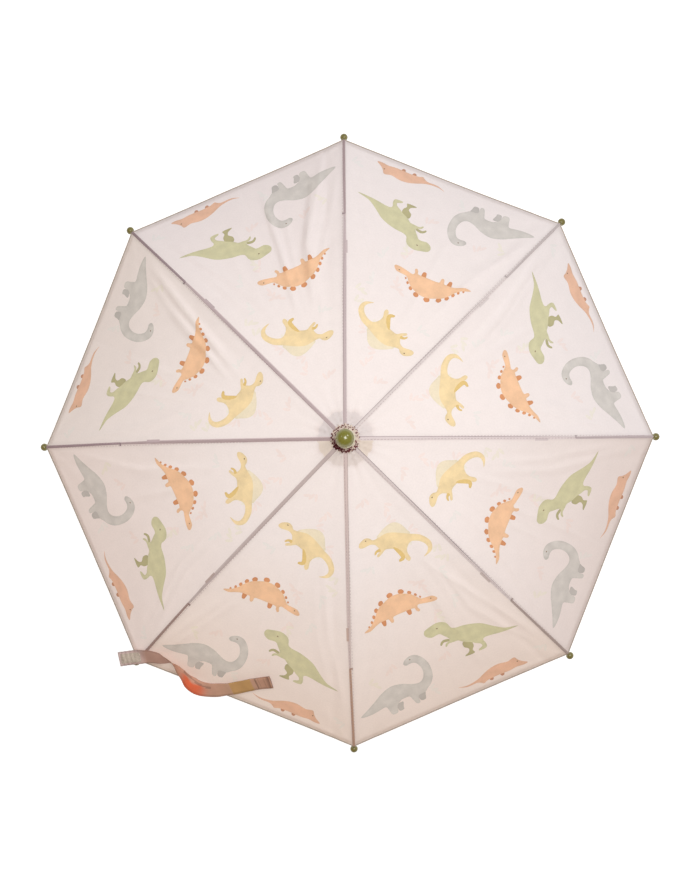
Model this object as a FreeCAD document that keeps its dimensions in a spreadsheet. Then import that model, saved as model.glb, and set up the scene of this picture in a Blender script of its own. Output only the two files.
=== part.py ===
import FreeCAD, Part
import math
import os
import Sketcher
from FreeCAD import Placement, Rotation, Vector

# A children's stick umbrella, open, with a J handle. Millimetres and degrees.
# Z runs up the shaft, and the origin is on the shaft's axis at the middle of the straight hand grip.
# Rib 1 points along +Y, and the others follow clockwise seen from above, 45 degrees apart.
# Each rib is an arc hinged on the crown. Its stretcher is as long as the chord from the crown to
# the joint, so the two make an isosceles triangle on the shaft, and the runner moves straight down.

doc = FreeCAD.newDocument("umbrella")
dims = doc.addObject("Spreadsheet::Sheet", "dims")
dims.Label = "driving dimensions"

DIMENSIONS = {
    # canopy and ribs
    "canopy_span": 700,  # from one tip ball's centre to the opposite one's
    "rib_count": 8,
    "rib_start_slope": 10,  # below level, at the crown
    "rib_turn": 28,  # how much steeper the rib is at its tip
    "joint_share": 0.6,  # where along the rib's arc the stretcher is riveted
    "pivot_radius": 9.5,  # of the two rings of pivots, at the crown and at the runner
    "rib_width": 3.2,
    "rib_depth": 2.6,
    "sheet_wall": 0.45,  # of the pressed steel channels
    "eye_turn": 0.7,  # part of the rib's arc that is the flat eye at the crown
    "eye_radius": 1.6,
    "eye_thickness": 1.4,
    "eye_overlap": 5,  # how far a flat eye runs into its channel
    "eye_length": 11,  # from the runner's pivot to the stretcher's channel
    "tip_turn": 0.26,  # part of the rib's arc inside the tip ball
    "canopy_gap": 0.8,  # from the rib's back to the fabric
    "canopy_thickness": 0.4,
    "hem_turn": 0.6,  # part of the rib's arc past the hem's corner
    "seam_gap": 0.3,  # between two sections of fabric
    # joint of rib and stretcher
    "ear_gap": 3.5,
    "ear_thickness": 0.5,
    "ear_length": 21,
    "ear_radius": 1.45,
    "fork_base": 3,
    "rivet_radius": 0.6,
    "rivet_head_radius": 1.25,
    "rivet_head_height": 0.5,
    "rivet_clearance": 0.05,
    "rivet_play": 0.1,  # between an ear and the rivet's head
    "fixed_clearance": 0.02,  # round a pin in the piece that it moves with
    # tips
    "tip_ball_radius": 4.3,
    "tip_sleeve_radius": 2.5,
    "tip_sleeve_length": 7,
    "socket_clearance": 0.05,
    # crown and runner
    "crown_height": 545,
    "wire_radius": 0.6,
    "wire_clearance": 0.07,
    "groove_half": 0.65,
    "groove_radius": 8.85,
    "flange_radius": 11,
    "flange_above": 1.2,
    "flange_below": 3.6,
    "flange_chamfer": 0.5,
    "slot_width": 1.9,
    "slot_inner_radius": 7.2,
    "hub_radius": 7,
    "hub_length": 6.4,
    "runner_bore": 4.2,
    "runner_radius": 7.8,
    "runner_length": 24,
    "thumb_ring_radius": 9.5,
    "thumb_ring_height": 3,
    "thumb_ring_slope": 1,
    # shaft, pins and catches
    "shaft_radius": 4,
    "shaft_wall": 0.6,
    "shaft_insert": 50,  # inside the handle
    "shaft_above": 18,  # above the crown's pivots, inside the finial
    "pin_radius": 0.8,
    "pin_recess": 0.2,  # of each end of the crown's and handle's pins
    "crown_pin_drop": 7,
    "stop_pin_rise": 2.8,  # above the open runner's pivots
    "stop_pin_length": 12,
    "catch_azimuth": 22.5,  # between two slots
    "catch_thickness": 1.6,
    "catch_reach": 6.5,  # of the nose, from the shaft's axis
    "catch_length": 32,
    "catch_bar_inner": 1.4,
    "catch_bar_outer": 3,
    "catch_nose": 9,
    "catch_land": 1.5,  # of the nose, before it slopes
    "catch_slot_width": 2.1,
    "catch_pin_radius": 0.6,
    "catch_pin_length": 7,
    "catch_margin": 0.6,
    "fold_angle": 63,  # that each rib turns to close the umbrella
    "key_width": 2.6,
    "key_radius": 6.95,
    "window_top": 10.4,  # below the runner's pivots
    "window_height": 10.6,
    # finial
    "rosette_radius": 15,
    "rosette_base": 3,
    "rosette_height": 1.2,
    "ferrule_ring_radius": 10.7,
    "ferrule_ring_height": 1.4,
    "ferrule_radius": 6,
    "ferrule_slope": 1.5,
    "ferrule_top": 12,
    "ball_radius": 10,
    "ball_flat": 8.5,  # from the ball's centre to its seat
    # handle
    "grip_radius": 8,
    "grip_length": 76,
    "crook_radius": 24,
    "crook_tail": 10,
    "collar_radius": 9,
    "collar_height": 5,
    "handle_pin_radius": 1,
    "handle_pin_drop": 14,
    # tie strap
    "strap_width": 16,
    "strap_thickness": 1,
    "strap_lift": 5.4,  # above the rib's middle line, so that it clears the tip ball
    "strap_base_out": 356,  # out along rib 6, and over towards rib 5
    "strap_base_over": -17,
    "strap_end_out": 262,
    "strap_end_over": 121,
    "patch_length": 20,
    "patch_width": 12,
    "patch_thickness": 0.6,
    "patch_margin": 2,
    "overrun": 1,  # of a cutter past the face it opens, or of a piece into the one it joins
}
for row, (alias, number) in enumerate(DIMENSIONS.items(), 1):
    dims.set(f"A{row}", str(number))
    dims.setAlias(f"A{row}", alias)
doc.recompute()

# sizes that follow from the sheet, as expressions for the features
ARC = (
    "((dims.canopy_span / 2 - dims.pivot_radius)"
    " / (2 * sin(dims.rib_turn / 2) * cos(dims.rib_start_slope + dims.rib_turn / 2)))"
)
JOINT_CHORD = f"(2 * {ARC} * sin(dims.joint_share * dims.rib_turn / 2))"
JOINT_SLOPE = "(dims.rib_start_slope + dims.joint_share * dims.rib_turn / 2)"
RUNNER_DROP = f"(2 * {JOINT_CHORD} * sin({JOINT_SLOPE}))"
SHAFT_FOOT = "(dims.grip_length / 2 - dims.shaft_insert)"

# and as numbers, for placing the pieces
size = {alias: float(number) for alias, number in DIMENSIONS.items()}
crown = size["crown_height"]
start = math.radians(size["rib_start_slope"])
turn = math.radians(size["rib_turn"])
joint_turn = size["joint_share"] * turn
eye_turn = math.radians(size["eye_turn"])
arc = (size["canopy_span"] / 2 - size["pivot_radius"]) / (
    2 * math.sin(turn / 2) * math.cos(start + turn / 2)
)
arc_centre = Vector(
    size["pivot_radius"] - arc * math.sin(start), 0, crown - arc * math.cos(start)
)
joint_chord = 2 * arc * math.sin(joint_turn / 2)
joint_slope = start + joint_turn / 2
runner_height = crown - 2 * joint_chord * math.sin(joint_slope)

RIBS = range(1, int(size["rib_count"]) + 1)
STEP = 360 / size["rib_count"]
Y_AXIS, Z_AXIS = Vector(0, 1, 0), Vector(0, 0, 1)
nodes = []


def rib_rotation(number):
    """The turn about Z that takes the plane +X,Z to the plane of a rib."""
    return Rotation(Z_AXIS, 90 - (number - 1) * STEP)


def arc_point(angle, lift=0.0):
    """A point in the XZ plane on the ribs' arc, at an angle from the vertical, lifted off it."""
    return arc_centre + Vector(math.sin(angle), 0, math.cos(angle)) * (arc + lift)


def node(piece, label, place=None):
    """Gives a finished piece its label, which names its file, and its place."""
    piece.Label = label
    if place is not None:
        piece.Placement = place
    nodes.append(piece)
    return piece


def bind(piece, **expressions):
    for name, expression in expressions.items():
        piece.setExpression(name, expression)
    return piece


# ---- PartDesign ----


def new_body(name):
    return doc.addObject("PartDesign::Body", name)


def origin_feature(body, role):
    return next(f for f in body.Origin.OriginFeatures if f.Role == role)


def sketch_on(body, role, offset=None):
    sketch = body.newObject("Sketcher::SketchObject", "sketch")
    sketch.AttachmentSupport = [(origin_feature(body, role), "")]
    sketch.MapMode = "FlatFace"
    if offset is not None:
        sketch.AttachmentOffset = offset
    return sketch


def fix(sketch, kind, geometry, position, expression):
    constraint = sketch.addConstraint(
        Sketcher.Constraint(kind, -1, 1, geometry, position, 1.0)
    )
    sketch.setExpression(f"Constraints[{constraint}]", expression)


def fix_point(sketch, geometry, position, x, y):
    """Holds a point of the sketch at two expressions from the sketch's origin."""
    fix(sketch, "DistanceX", geometry, position, x)
    fix(sketch, "DistanceY", geometry, position, y)


def outline(sketch, corners):
    """Adds a closed polygon whose corners are pairs of expressions."""
    count, first = len(corners), sketch.GeometryCount
    rough = [Vector(i, i * i, 0) for i in range(1, count + 1)]
    for i in range(count):
        sketch.addGeometry(Part.LineSegment(rough[i], rough[(i + 1) % count]))
    for i, (x, y) in enumerate(corners):
        following = first + (i + 1) % count
        sketch.addConstraint(
            Sketcher.Constraint("Coincident", first + i, 2, following, 1)
        )
        fix_point(sketch, first + i, 1, x, y)


def circle(sketch, x, y, radius):
    index = sketch.addGeometry(Part.Circle(Vector(1, 1, 0), Z_AXIS, 1))
    fix_point(sketch, index, 3, x, y)
    constraint = sketch.addConstraint(Sketcher.Constraint("Radius", index, 1.0))
    sketch.setExpression(f"Constraints[{constraint}]", radius)


def box_outline(sketch, low_x, high_x, low_y, high_y):
    outline(
        sketch,
        [(low_x, low_y), (high_x, low_y), (high_x, high_y), (low_x, high_y)],
    )


def pad(body, sketch, length, side="Symmetric"):
    feature = body.newObject("PartDesign::Pad", "pad")
    feature.Profile = sketch
    feature.SideType = side
    return bind(feature, Length=length)


def pocket(body, sketch, length, side="Symmetric", backwards=False):
    feature = body.newObject("PartDesign::Pocket", "pocket")
    feature.Profile = sketch
    feature.SideType = side
    feature.Reversed = backwards
    return bind(feature, Length=length)


def lathe(body, corners):
    """A full turn about Z of a polygon in the XZ plane."""
    sketch = sketch_on(body, "XZ_Plane")
    outline(sketch, corners)
    feature = body.newObject("PartDesign::Revolution", "revolution")
    feature.Profile = sketch
    feature.ReferenceAxis = (sketch, ["V_Axis"])
    feature.Angle = 360
    return feature


def channel_outline(sketch, middle="0"):
    """The pressed channel's section, its back up and its open side down."""
    half, inner = "dims.rib_width / 2", "(dims.rib_width / 2 - dims.sheet_wall)"
    top, foot = f"{middle} + dims.rib_depth / 2", f"{middle} - dims.rib_depth / 2"
    ceiling = f"{top} - dims.sheet_wall"
    outline(
        sketch,
        [
            (f"-{half}", foot),
            (f"-{half}", top),
            (half, top),
            (half, foot),
            (inner, foot),
            (inner, ceiling),
            (f"-{inner}", ceiling),
            (f"-{inner}", foot),
        ],
    )


def disc(body, x, y, radius, thickness):
    """A round plate across the XZ plane."""
    sketch = sketch_on(body, "XZ_Plane")
    circle(sketch, x, y, radius)
    return pad(body, sketch, thickness)


def hole(body, x, y, radius, through):
    """A round hole across the XZ plane."""
    sketch = sketch_on(body, "XZ_Plane")
    circle(sketch, x, y, radius)
    return pocket(body, sketch, through)


def plate(body, low_x, high_x, low_z, high_z, thickness):
    """A rectangular plate across the XZ plane."""
    sketch = sketch_on(body, "XZ_Plane")
    box_outline(sketch, low_x, high_x, low_z, high_z)
    return pad(body, sketch, thickness)


# ---- Part ----


def part(kind, **expressions):
    return bind(doc.addObject(f"Part::{kind}", kind.lower()), **expressions)


def cylinder(radius, height, foot="0"):
    """A cylinder on the Z axis."""
    piece = part("Cylinder", Radius=radius, Height=height)
    piece.setExpression(".Placement.Base.z", foot)
    return piece


def cross_cylinder(radius, length, height, x="0"):
    """A cylinder along Y, centred on the plane XZ."""
    piece = part("Cylinder", Radius=radius, Height=length)
    piece.Placement = Placement(Vector(), Rotation(Vector(1, 0, 0), -90))
    piece.setExpression(".Placement.Base.x", x)
    piece.setExpression(".Placement.Base.y", f"-({length}) / 2")
    piece.setExpression(".Placement.Base.z", height)
    return piece


def cut(base, tool):
    piece = doc.addObject("Part::Cut", "cut")
    piece.Base, piece.Tool = base, tool
    return piece


def fuse(pieces):
    piece = doc.addObject("Part::MultiFuse", "fusion")
    piece.Shapes = pieces
    return piece


# ---- the shaft and what is fixed to it ----

OPEN_CATCH_FACE = (
    f"(dims.crown_height - {RUNNER_DROP} - dims.flange_below - dims.runner_length"
    " - dims.thumb_ring_height - dims.catch_margin)"
)
CLOSED_RUNNER = (
    f"(dims.crown_height - 2 * {JOINT_CHORD} * sin({JOINT_SLOPE} + dims.fold_angle))"
)
CLOSE_CATCH_FACE = (
    f"({CLOSED_RUNNER} - dims.window_top - dims.window_height + dims.catch_margin)"
)
HANDLE_PIN_HEIGHT = "(dims.grip_length / 2 - dims.handle_pin_drop)"
CROWN_PIN_HEIGHT = "(dims.crown_height - dims.crown_pin_drop)"
STOP_PIN_HEIGHT = f"(dims.crown_height - {RUNNER_DROP} + dims.stop_pin_rise)"
catch_turn = Rotation(Z_AXIS, size["catch_azimuth"])


def place_by_catch(piece, rotation, reach, aside, height):
    """Puts a piece at a reach from the shaft's axis towards the catches, and aside of their plane."""
    cosine, sine = "cos(dims.catch_azimuth)", "sin(dims.catch_azimuth)"
    piece.Placement = Placement(Vector(), rotation)
    piece.setExpression(".Placement.Base.x", f"{reach} * {cosine} + {aside} * {sine}")
    piece.setExpression(".Placement.Base.y", f"{reach} * {sine} - {aside} * {cosine}")
    piece.setExpression(".Placement.Base.z", height)
    return piece


def catch_slot(face, direction):
    """The slot in the shaft that a catch's nose comes out of, from its face towards its hinge."""
    piece = part(
        "Box",
        Length="dims.shaft_radius",
        Width="dims.catch_slot_width",
        Height="dims.catch_nose + 2 * dims.overrun",
    )
    nose_below = "dims.catch_nose" if direction > 0 else "0"
    foot = f"{face} - {nose_below} - dims.overrun"
    aside = "dims.catch_slot_width / 2"
    return place_by_catch(piece, catch_turn, "dims.shaft_radius / 2", aside, foot)


def catch_pin(face, direction, radius, length):
    """The pin at a catch's hinge, or its hole."""
    piece = part("Cylinder", Radius=radius, Height=length)
    level = Rotation(Z_AXIS, catch_turn.multVec(Y_AXIS))
    height = f"{face} - {direction} * dims.catch_length"
    return place_by_catch(piece, level, "dims.catch_bar_inner", f"({length}) / 2", height)


def build_shaft():
    tube = cut(
        cylinder(
            "dims.shaft_radius",
            f"dims.crown_height + dims.shaft_above - {SHAFT_FOOT}",
            SHAFT_FOOT,
        ),
        cylinder(
            "dims.shaft_radius - dims.shaft_wall",
            f"dims.crown_height + dims.shaft_above - {SHAFT_FOOT} + 2 * dims.overrun",
            f"{SHAFT_FOOT} - dims.overrun",
        ),
    )
    across = "2 * (dims.shaft_radius + dims.overrun)"
    pin_hole = "dims.pin_radius + dims.fixed_clearance"
    hinge_hole = "dims.catch_pin_radius + dims.fixed_clearance"
    handle_hole = "dims.handle_pin_radius + dims.fixed_clearance"
    openings = [
        catch_slot(OPEN_CATCH_FACE, 1),
        catch_slot(CLOSE_CATCH_FACE, -1),
        catch_pin(OPEN_CATCH_FACE, 1, hinge_hole, across),
        catch_pin(CLOSE_CATCH_FACE, -1, hinge_hole, across),
        cross_cylinder(pin_hole, across, CROWN_PIN_HEIGHT),
        cross_cylinder(pin_hole, across, STOP_PIN_HEIGHT),
        cross_cylinder(handle_hole, across, HANDLE_PIN_HEIGHT),
    ]
    node(cut(tube, fuse(openings)), "shaft_tube")


def build_pins():
    pin = "dims.pin_radius"
    across = "2 * (dims.hub_radius - dims.pin_recess)"
    node(cross_cylinder(pin, across, CROWN_PIN_HEIGHT), "crown_pin")
    node(cross_cylinder(pin, "dims.stop_pin_length", STOP_PIN_HEIGHT), "runner_stop_pin")
    across = "2 * (dims.grip_radius - dims.pin_recess)"
    node(
        cross_cylinder("dims.handle_pin_radius", across, HANDLE_PIN_HEIGHT),
        "handle_pin",
    )
    pins = [
        catch_pin(face, direction, "dims.catch_pin_radius", "dims.catch_pin_length")
        for face, direction in ((OPEN_CATCH_FACE, 1), (CLOSE_CATCH_FACE, -1))
    ]
    both = doc.addObject("Part::Compound", "pair")
    both.Links = pins
    node(both, "catch_pins")


def build_catch(label, face, direction):
    """A sprung lever inside the shaft. Its own z 0 is its nose's flat face, and its hinge is below
    that, or above it where direction is -1."""
    body = new_body(label)
    inner, outer = "dims.catch_bar_inner", "dims.catch_bar_outer"
    sign = "-" if direction > 0 else ""
    far, nose = f"{sign}dims.catch_length", f"{sign}dims.catch_nose"
    sketch = sketch_on(body, "XZ_Plane")
    outline(
        sketch,
        [
            (inner, far),
            (outer, far),
            (outer, nose),
            ("dims.catch_reach", f"{sign}dims.catch_land"),
            ("dims.catch_reach", "0"),
            (inner, "0"),
        ],
    )
    pad(body, sketch, "dims.catch_thickness")
    disc(body, inner, far, "dims.eye_radius", "dims.catch_thickness")
    hinge_hole = "dims.catch_pin_radius + dims.rivet_clearance"
    hole(body, inner, far, hinge_hole, "2 * dims.catch_thickness")
    node(body, label, Placement(Vector(), catch_turn))
    body.setExpression(".Placement.Base.z", face)


def wire_ring(label, height):
    ring = part("Torus", Radius1="dims.pivot_radius", Radius2="dims.wire_radius")
    ring.setExpression(".Placement.Base.z", height)
    node(ring, label)


def flange_corners(bore, below):
    """The slotted flange's half section above its lower face, with the groove for its wire ring."""
    return [
        ("dims.flange_radius", below),
        ("dims.flange_radius", "-dims.groove_half"),
        ("dims.groove_radius", "-dims.groove_half"),
        ("dims.groove_radius", "dims.groove_half"),
        ("dims.flange_radius", "dims.groove_half"),
        ("dims.flange_radius", "dims.flange_above - dims.flange_chamfer"),
        ("dims.flange_radius - dims.flange_chamfer", "dims.flange_above"),
        (bore, "dims.flange_above"),
    ]


def cut_slots(body, turned):
    """Eight slots for the flat eyes, right through the flange."""
    sketch = sketch_on(body, "XY_Plane", Placement(Vector(), Rotation(Z_AXIS, turned)))
    box_outline(
        sketch,
        "dims.slot_inner_radius",
        "dims.flange_radius + dims.overrun",
        "-dims.slot_width / 2",
        "dims.slot_width / 2",
    )
    slot = pocket(body, sketch, "2 * (dims.flange_below + dims.overrun)")
    ring = body.newObject("PartDesign::PolarPattern", "slots")
    ring.Originals = [slot]
    ring.Axis = (origin_feature(body, "Z_Axis"), [""])
    ring.Angle = 360
    ring.setExpression("Occurrences", "dims.rib_count")
    body.Tip = ring


def build_crown():
    body = new_body("crown_notch")
    bore = "dims.shaft_radius + dims.fixed_clearance"
    foot = "-dims.flange_below - dims.hub_length"
    lathe(
        body,
        [(bore, foot), ("dims.hub_radius", foot), ("dims.hub_radius", "-dims.flange_below")]
        + flange_corners(bore, "-dims.flange_below"),
    )
    pin_hole = "dims.pin_radius + dims.fixed_clearance"
    through = "2 * (dims.hub_radius + dims.overrun)"
    hole(body, "0", "-dims.crown_pin_drop", pin_hole, through)
    cut_slots(body, 0)
    node(body, "crown_notch", Placement(Vector(0, 0, crown), Rotation()))
    wire_ring("crown_wire", "dims.crown_height")


def build_runner():
    """The sleeve that slides on the shaft. Its keyway lets it pass the noses of the catches, and
    its window is where the close catch shows when the umbrella is shut."""
    body = new_body("runner_sleeve")
    bore = "dims.runner_bore"
    ring_top = "-dims.flange_below - dims.runner_length"
    foot = f"{ring_top} - dims.thumb_ring_height"
    lathe(
        body,
        [
            (bore, foot),
            ("dims.thumb_ring_radius", foot),
            ("dims.thumb_ring_radius", ring_top),
            ("dims.runner_radius", f"{ring_top} + dims.thumb_ring_slope"),
            ("dims.runner_radius", "-dims.flange_below"),
        ]
        + flange_corners(bore, "-dims.flange_below"),
    )
    sketch = sketch_on(body, "XY_Plane")
    half = "dims.key_width / 2"
    box_outline(sketch, "dims.shaft_radius / 2", "dims.key_radius", f"-{half}", half)
    pocket(body, sketch, f"-2 * ({foot} - dims.overrun)")
    sketch = sketch_on(body, "YZ_Plane")
    low = "-dims.window_top - dims.window_height"
    box_outline(sketch, f"-{half}", half, low, "-dims.window_top")
    pocket(body, sketch, "dims.thumb_ring_radius", "One side", backwards=True)
    cut_slots(body, -size["catch_azimuth"])
    node(body, "runner_sleeve", Placement(Vector(0, 0, runner_height), catch_turn))
    wire_ring("runner_wire", f"dims.crown_height - {RUNNER_DROP}")


def build_finial():
    body = new_body("rosette")
    bore = "dims.shaft_radius + dims.fixed_clearance"
    top = "dims.rosette_base + dims.rosette_height"
    lathe(
        body,
        [
            (bore, "dims.rosette_base"),
            ("dims.rosette_radius", "dims.rosette_base"),
            ("dims.rosette_radius", top),
            (bore, top),
        ],
    )
    on_crown = Placement(Vector(0, 0, crown), Rotation())
    node(body, "rosette", on_crown)

    body = new_body("finial_ferrule")
    ring_top = f"{top} + dims.ferrule_ring_height"
    lathe(
        body,
        [
            (bore, top),
            ("dims.ferrule_ring_radius", top),
            ("dims.ferrule_ring_radius", ring_top),
            ("dims.ferrule_radius + dims.ferrule_slope", ring_top),
            ("dims.ferrule_radius", f"{ring_top} + dims.ferrule_slope"),
            ("dims.ferrule_radius", "dims.ferrule_top"),
            (bore, "dims.ferrule_top"),
        ],
    )
    node(body, "finial_ferrule", on_crown)

    ball = part("Sphere", Radius="dims.ball_radius")
    ball.setExpression(
        ".Placement.Base.z", "dims.crown_height + dims.ferrule_top + dims.ball_flat"
    )
    seat = "dims.crown_height + dims.ferrule_top"
    below = cylinder(
        "dims.ball_radius + dims.overrun", "dims.ball_radius", f"{seat} - dims.ball_radius"
    )
    socket = cylinder(
        bore,
        "dims.shaft_above - dims.ferrule_top + dims.overrun",
        f"{seat} - dims.overrun + dims.fixed_clearance",
    )
    node(cut(ball, fuse([below, socket])), "finial_ball")


def build_handle():
    body = new_body("handle")
    top = "dims.grip_length / 2"
    half, bend = size["grip_length"] / 2, size["crook_radius"]
    above = Placement(Vector(0, 0, half), Rotation())
    below = Placement(Vector(0, 0, -half), Rotation())
    grip = sketch_on(body, "XY_Plane", below)
    circle(grip, "0", "0", "dims.grip_radius")
    pad(body, grip, "dims.grip_length", "One side")
    section = sketch_on(body, "XY_Plane", below)
    circle(section, "0", "0", "dims.grip_radius")
    line = section.addGeometry(
        Part.LineSegment(Vector(bend, 0, 0), Vector(bend, bend, 0)), True
    )
    fix_point(section, line, 1, "dims.crook_radius", "0")
    fix_point(section, line, 2, "dims.crook_radius", "dims.crook_radius")
    crook = body.newObject("PartDesign::Revolution", "crook")
    crook.Profile = section
    crook.ReferenceAxis = (section, ["Axis0"])
    crook.Angle = 180
    crook.Reversed = True
    tail = sketch_on(body, "XY_Plane", below)
    circle(tail, "2 * dims.crook_radius", "0", "dims.grip_radius")
    pad(body, tail, "dims.crook_tail", "One side")
    bore = sketch_on(body, "XY_Plane", above)
    circle(bore, "0", "0", "dims.shaft_radius + dims.fixed_clearance")
    pocket(body, bore, "dims.shaft_insert + dims.fixed_clearance", "One side")
    pin_hole = "dims.handle_pin_radius + dims.fixed_clearance"
    through = "2 * (dims.grip_radius + dims.overrun)"
    hole(body, "0", f"{top} - dims.handle_pin_drop", pin_hole, through)
    node(body, "handle")

    collar = cut(
        cylinder("dims.collar_radius", "dims.collar_height", top),
        cylinder(
            "dims.shaft_radius + dims.fixed_clearance",
            "dims.collar_height + 2 * dims.overrun",
            f"{top} - dims.overrun",
        ),
    )
    node(collar, "handle_collar")

    cap = part("Sphere", Radius="dims.grip_radius", Angle1="0")
    cap.Placement = Placement(Vector(2 * bend, 0, size["crook_tail"] - half), Rotation())
    node(cap, "handle_end_cap")


# ---- ribs, stretchers, tips and fabric, eight of each ----

ACROSS = "dims.rib_width + 2 * dims.overrun"


def build_rib(number):
    """A channel bent to the ribs' arc, about its own Y axis, with a flat eye at the crown."""
    body = new_body(f"rib_{number}")
    sketch = sketch_on(body, "YZ_Plane")
    channel_outline(sketch, ARC)
    bend = body.newObject("PartDesign::Revolution", "bend")
    bend.Profile = sketch
    bend.ReferenceAxis = (sketch, ["H_Axis"])
    bend.setExpression("Angle", "dims.rib_turn - dims.eye_turn - dims.tip_turn")
    eye_x = f"-{ARC} * sin(dims.eye_turn)"
    eye_z = f"{ARC} * cos(dims.eye_turn)"
    half = "dims.rib_depth / 2"
    plate(
        body,
        eye_x,
        "dims.eye_overlap",
        f"{eye_z} - {half}",
        f"{eye_z} + {half}",
        "dims.eye_thickness",
    )
    disc(body, eye_x, eye_z, "dims.eye_radius", "dims.eye_thickness")
    hole(body, eye_x, eye_z, "dims.wire_radius + dims.wire_clearance", ACROSS)
    joint_angle = "(dims.joint_share * dims.rib_turn - dims.eye_turn)"
    hole(
        body,
        f"{ARC} * sin({joint_angle})",
        f"{ARC} * cos({joint_angle})",
        "dims.rivet_radius + dims.fixed_clearance",
        ACROSS,
    )
    turned = rib_rotation(number)
    tilt = Rotation(Y_AXIS, math.degrees(start + eye_turn))
    node(
        body,
        f"rib_{number}",
        Placement(turned.multVec(arc_centre), turned.multiply(tilt)),
    )


def build_rivet(number):
    """A headed pin through the rib and through the stretcher's two ears."""
    face = "(dims.ear_gap / 2 + dims.ear_thickness + dims.rivet_play)"
    head_height = "dims.rivet_head_height"
    pieces = [cylinder("dims.rivet_radius", f"2 * {face} + {head_height}")]
    pieces[0].setExpression(".Placement.Base.z", f"-{face} - {head_height} / 2")
    for foot in (face, f"-{face} - {head_height}"):
        pieces.append(cylinder("dims.rivet_head_radius", head_height, foot))
    turned = rib_rotation(number)
    along_y = Rotation(Vector(1, 0, 0), -90)
    place = turned.multVec(arc_point(start + joint_turn))
    node(
        fuse(pieces),
        f"rib_rivet_{number}",
        Placement(place, turned.multiply(along_y)),
    )


def build_tip(number):
    """A ball on a sleeve, pushed over the rib's end. It is modelled along Z."""
    ball = part("Sphere", Radius="dims.tip_ball_radius")
    length = "dims.tip_sleeve_length"
    sleeve = cylinder("dims.tip_sleeve_radius", length, f"-{length}")
    socket = part(
        "Box",
        Length="dims.rib_depth + 2 * dims.socket_clearance",
        Width="dims.rib_width + 2 * dims.socket_clearance",
        Height=length,
    )
    socket.setExpression(".Placement.Base.x", "-dims.rib_depth / 2 - dims.socket_clearance")
    socket.setExpression(".Placement.Base.y", "-dims.rib_width / 2 - dims.socket_clearance")
    socket.setExpression(
        ".Placement.Base.z",
        f"-{length} - {ARC} * sin(dims.tip_turn) + dims.socket_clearance",
    )
    turned = rib_rotation(number)
    lean = Rotation(Y_AXIS, 90 + math.degrees(start + turn))
    node(
        cut(fuse([ball, sleeve]), socket),
        f"rib_tip_{number}",
        Placement(turned.multVec(arc_point(start + turn)), turned.multiply(lean)),
    )


def build_stretcher(number):
    """A channel from the joint, at its origin, along X to the runner, with a fork of two ears that
    straddle the rib and a flat eye in the runner's slot."""
    body = new_body(f"stretcher_{number}")
    half = "dims.rib_depth / 2"
    length = JOINT_CHORD
    ears = "dims.ear_gap + 2 * dims.ear_thickness"
    fork_end = "dims.ear_length + dims.fork_base"
    plate(body, "0", fork_end, f"-{half}", half, ears)
    disc(body, "0", "0", "dims.ear_radius", ears)
    inside = sketch_on(body, "XZ_Plane")
    box_outline(inside, "-dims.rib_depth", "dims.ear_length", "-dims.rib_depth", "dims.rib_depth")
    pocket(body, inside, "dims.ear_gap")
    in_fork = Placement(Vector(0, 0, size["ear_length"] + size["overrun"]), Rotation())
    channel = sketch_on(body, "YZ_Plane", in_fork)
    channel_outline(channel)
    channel_length = f"{length} - dims.ear_length - dims.overrun - dims.eye_length"
    pad(body, channel, channel_length, "One side")
    plate(
        body,
        f"{length} - dims.eye_length - dims.eye_overlap",
        length,
        f"-{half}",
        half,
        "dims.eye_thickness",
    )
    disc(body, length, "0", "dims.eye_radius", "dims.eye_thickness")
    hole(body, length, "0", "dims.wire_radius + dims.wire_clearance", ACROSS)
    hole(body, "0", "0", "dims.rivet_radius + dims.rivet_clearance", f"{ears} + dims.overrun")
    turned = rib_rotation(number)
    lean = Rotation(Y_AXIS, 180 - math.degrees(joint_slope))
    node(
        body,
        f"stretcher_{number}",
        Placement(
            turned.multVec(arc_point(start + joint_turn)), turned.multiply(lean)
        ),
    )


def half_section(side):
    """Fabric from the rib's plane, XZ, to the middle of the gore beside it. The gore bends only one
    way, so it is the rib's arc moved level across the gore, and trimmed at the middle."""
    inner = size["rib_depth"] / 2 + size["canopy_gap"]
    outer = inner + size["canopy_thickness"]
    first, last = start, start + turn - math.radians(size["hem_turn"])
    middle = (first + last) / 2
    edges = [
        Part.Arc(*(arc_point(angle, lift) for angle in (first, middle, last))).toShape()
        for lift in (inner, outer)
    ]
    edges += [
        Part.LineSegment(arc_point(angle, inner), arc_point(angle, outer)).toShape()
        for angle in (first, last)
    ]
    profile = Part.Face(Part.Wire(Part.__sortEdges__(edges)))
    # the gore's middle plane stands across this direction, and half of the gap is left before it
    half = math.radians(STEP / 2)
    across = Vector(-math.sin(half), side * math.cos(half), 0)
    reach = size["canopy_span"] / 2
    keep = Part.makeBox(2 * reach, 2 * reach, 2 * reach, Vector(-reach, -2 * reach, -reach))
    corner = Vector(0, 0, crown) - across * (size["seam_gap"] / 2)
    keep.Placement = Placement(corner, Rotation(Y_AXIS, across))
    return profile.extrude(across * reach).common(keep)


def build_canopy_section(number, shape):
    section = doc.addObject("Part::Feature", f"canopy_section_{number}")
    section.Shape = shape
    node(section, f"canopy_section_{number}", Placement(Vector(), rib_rotation(number)))


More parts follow.
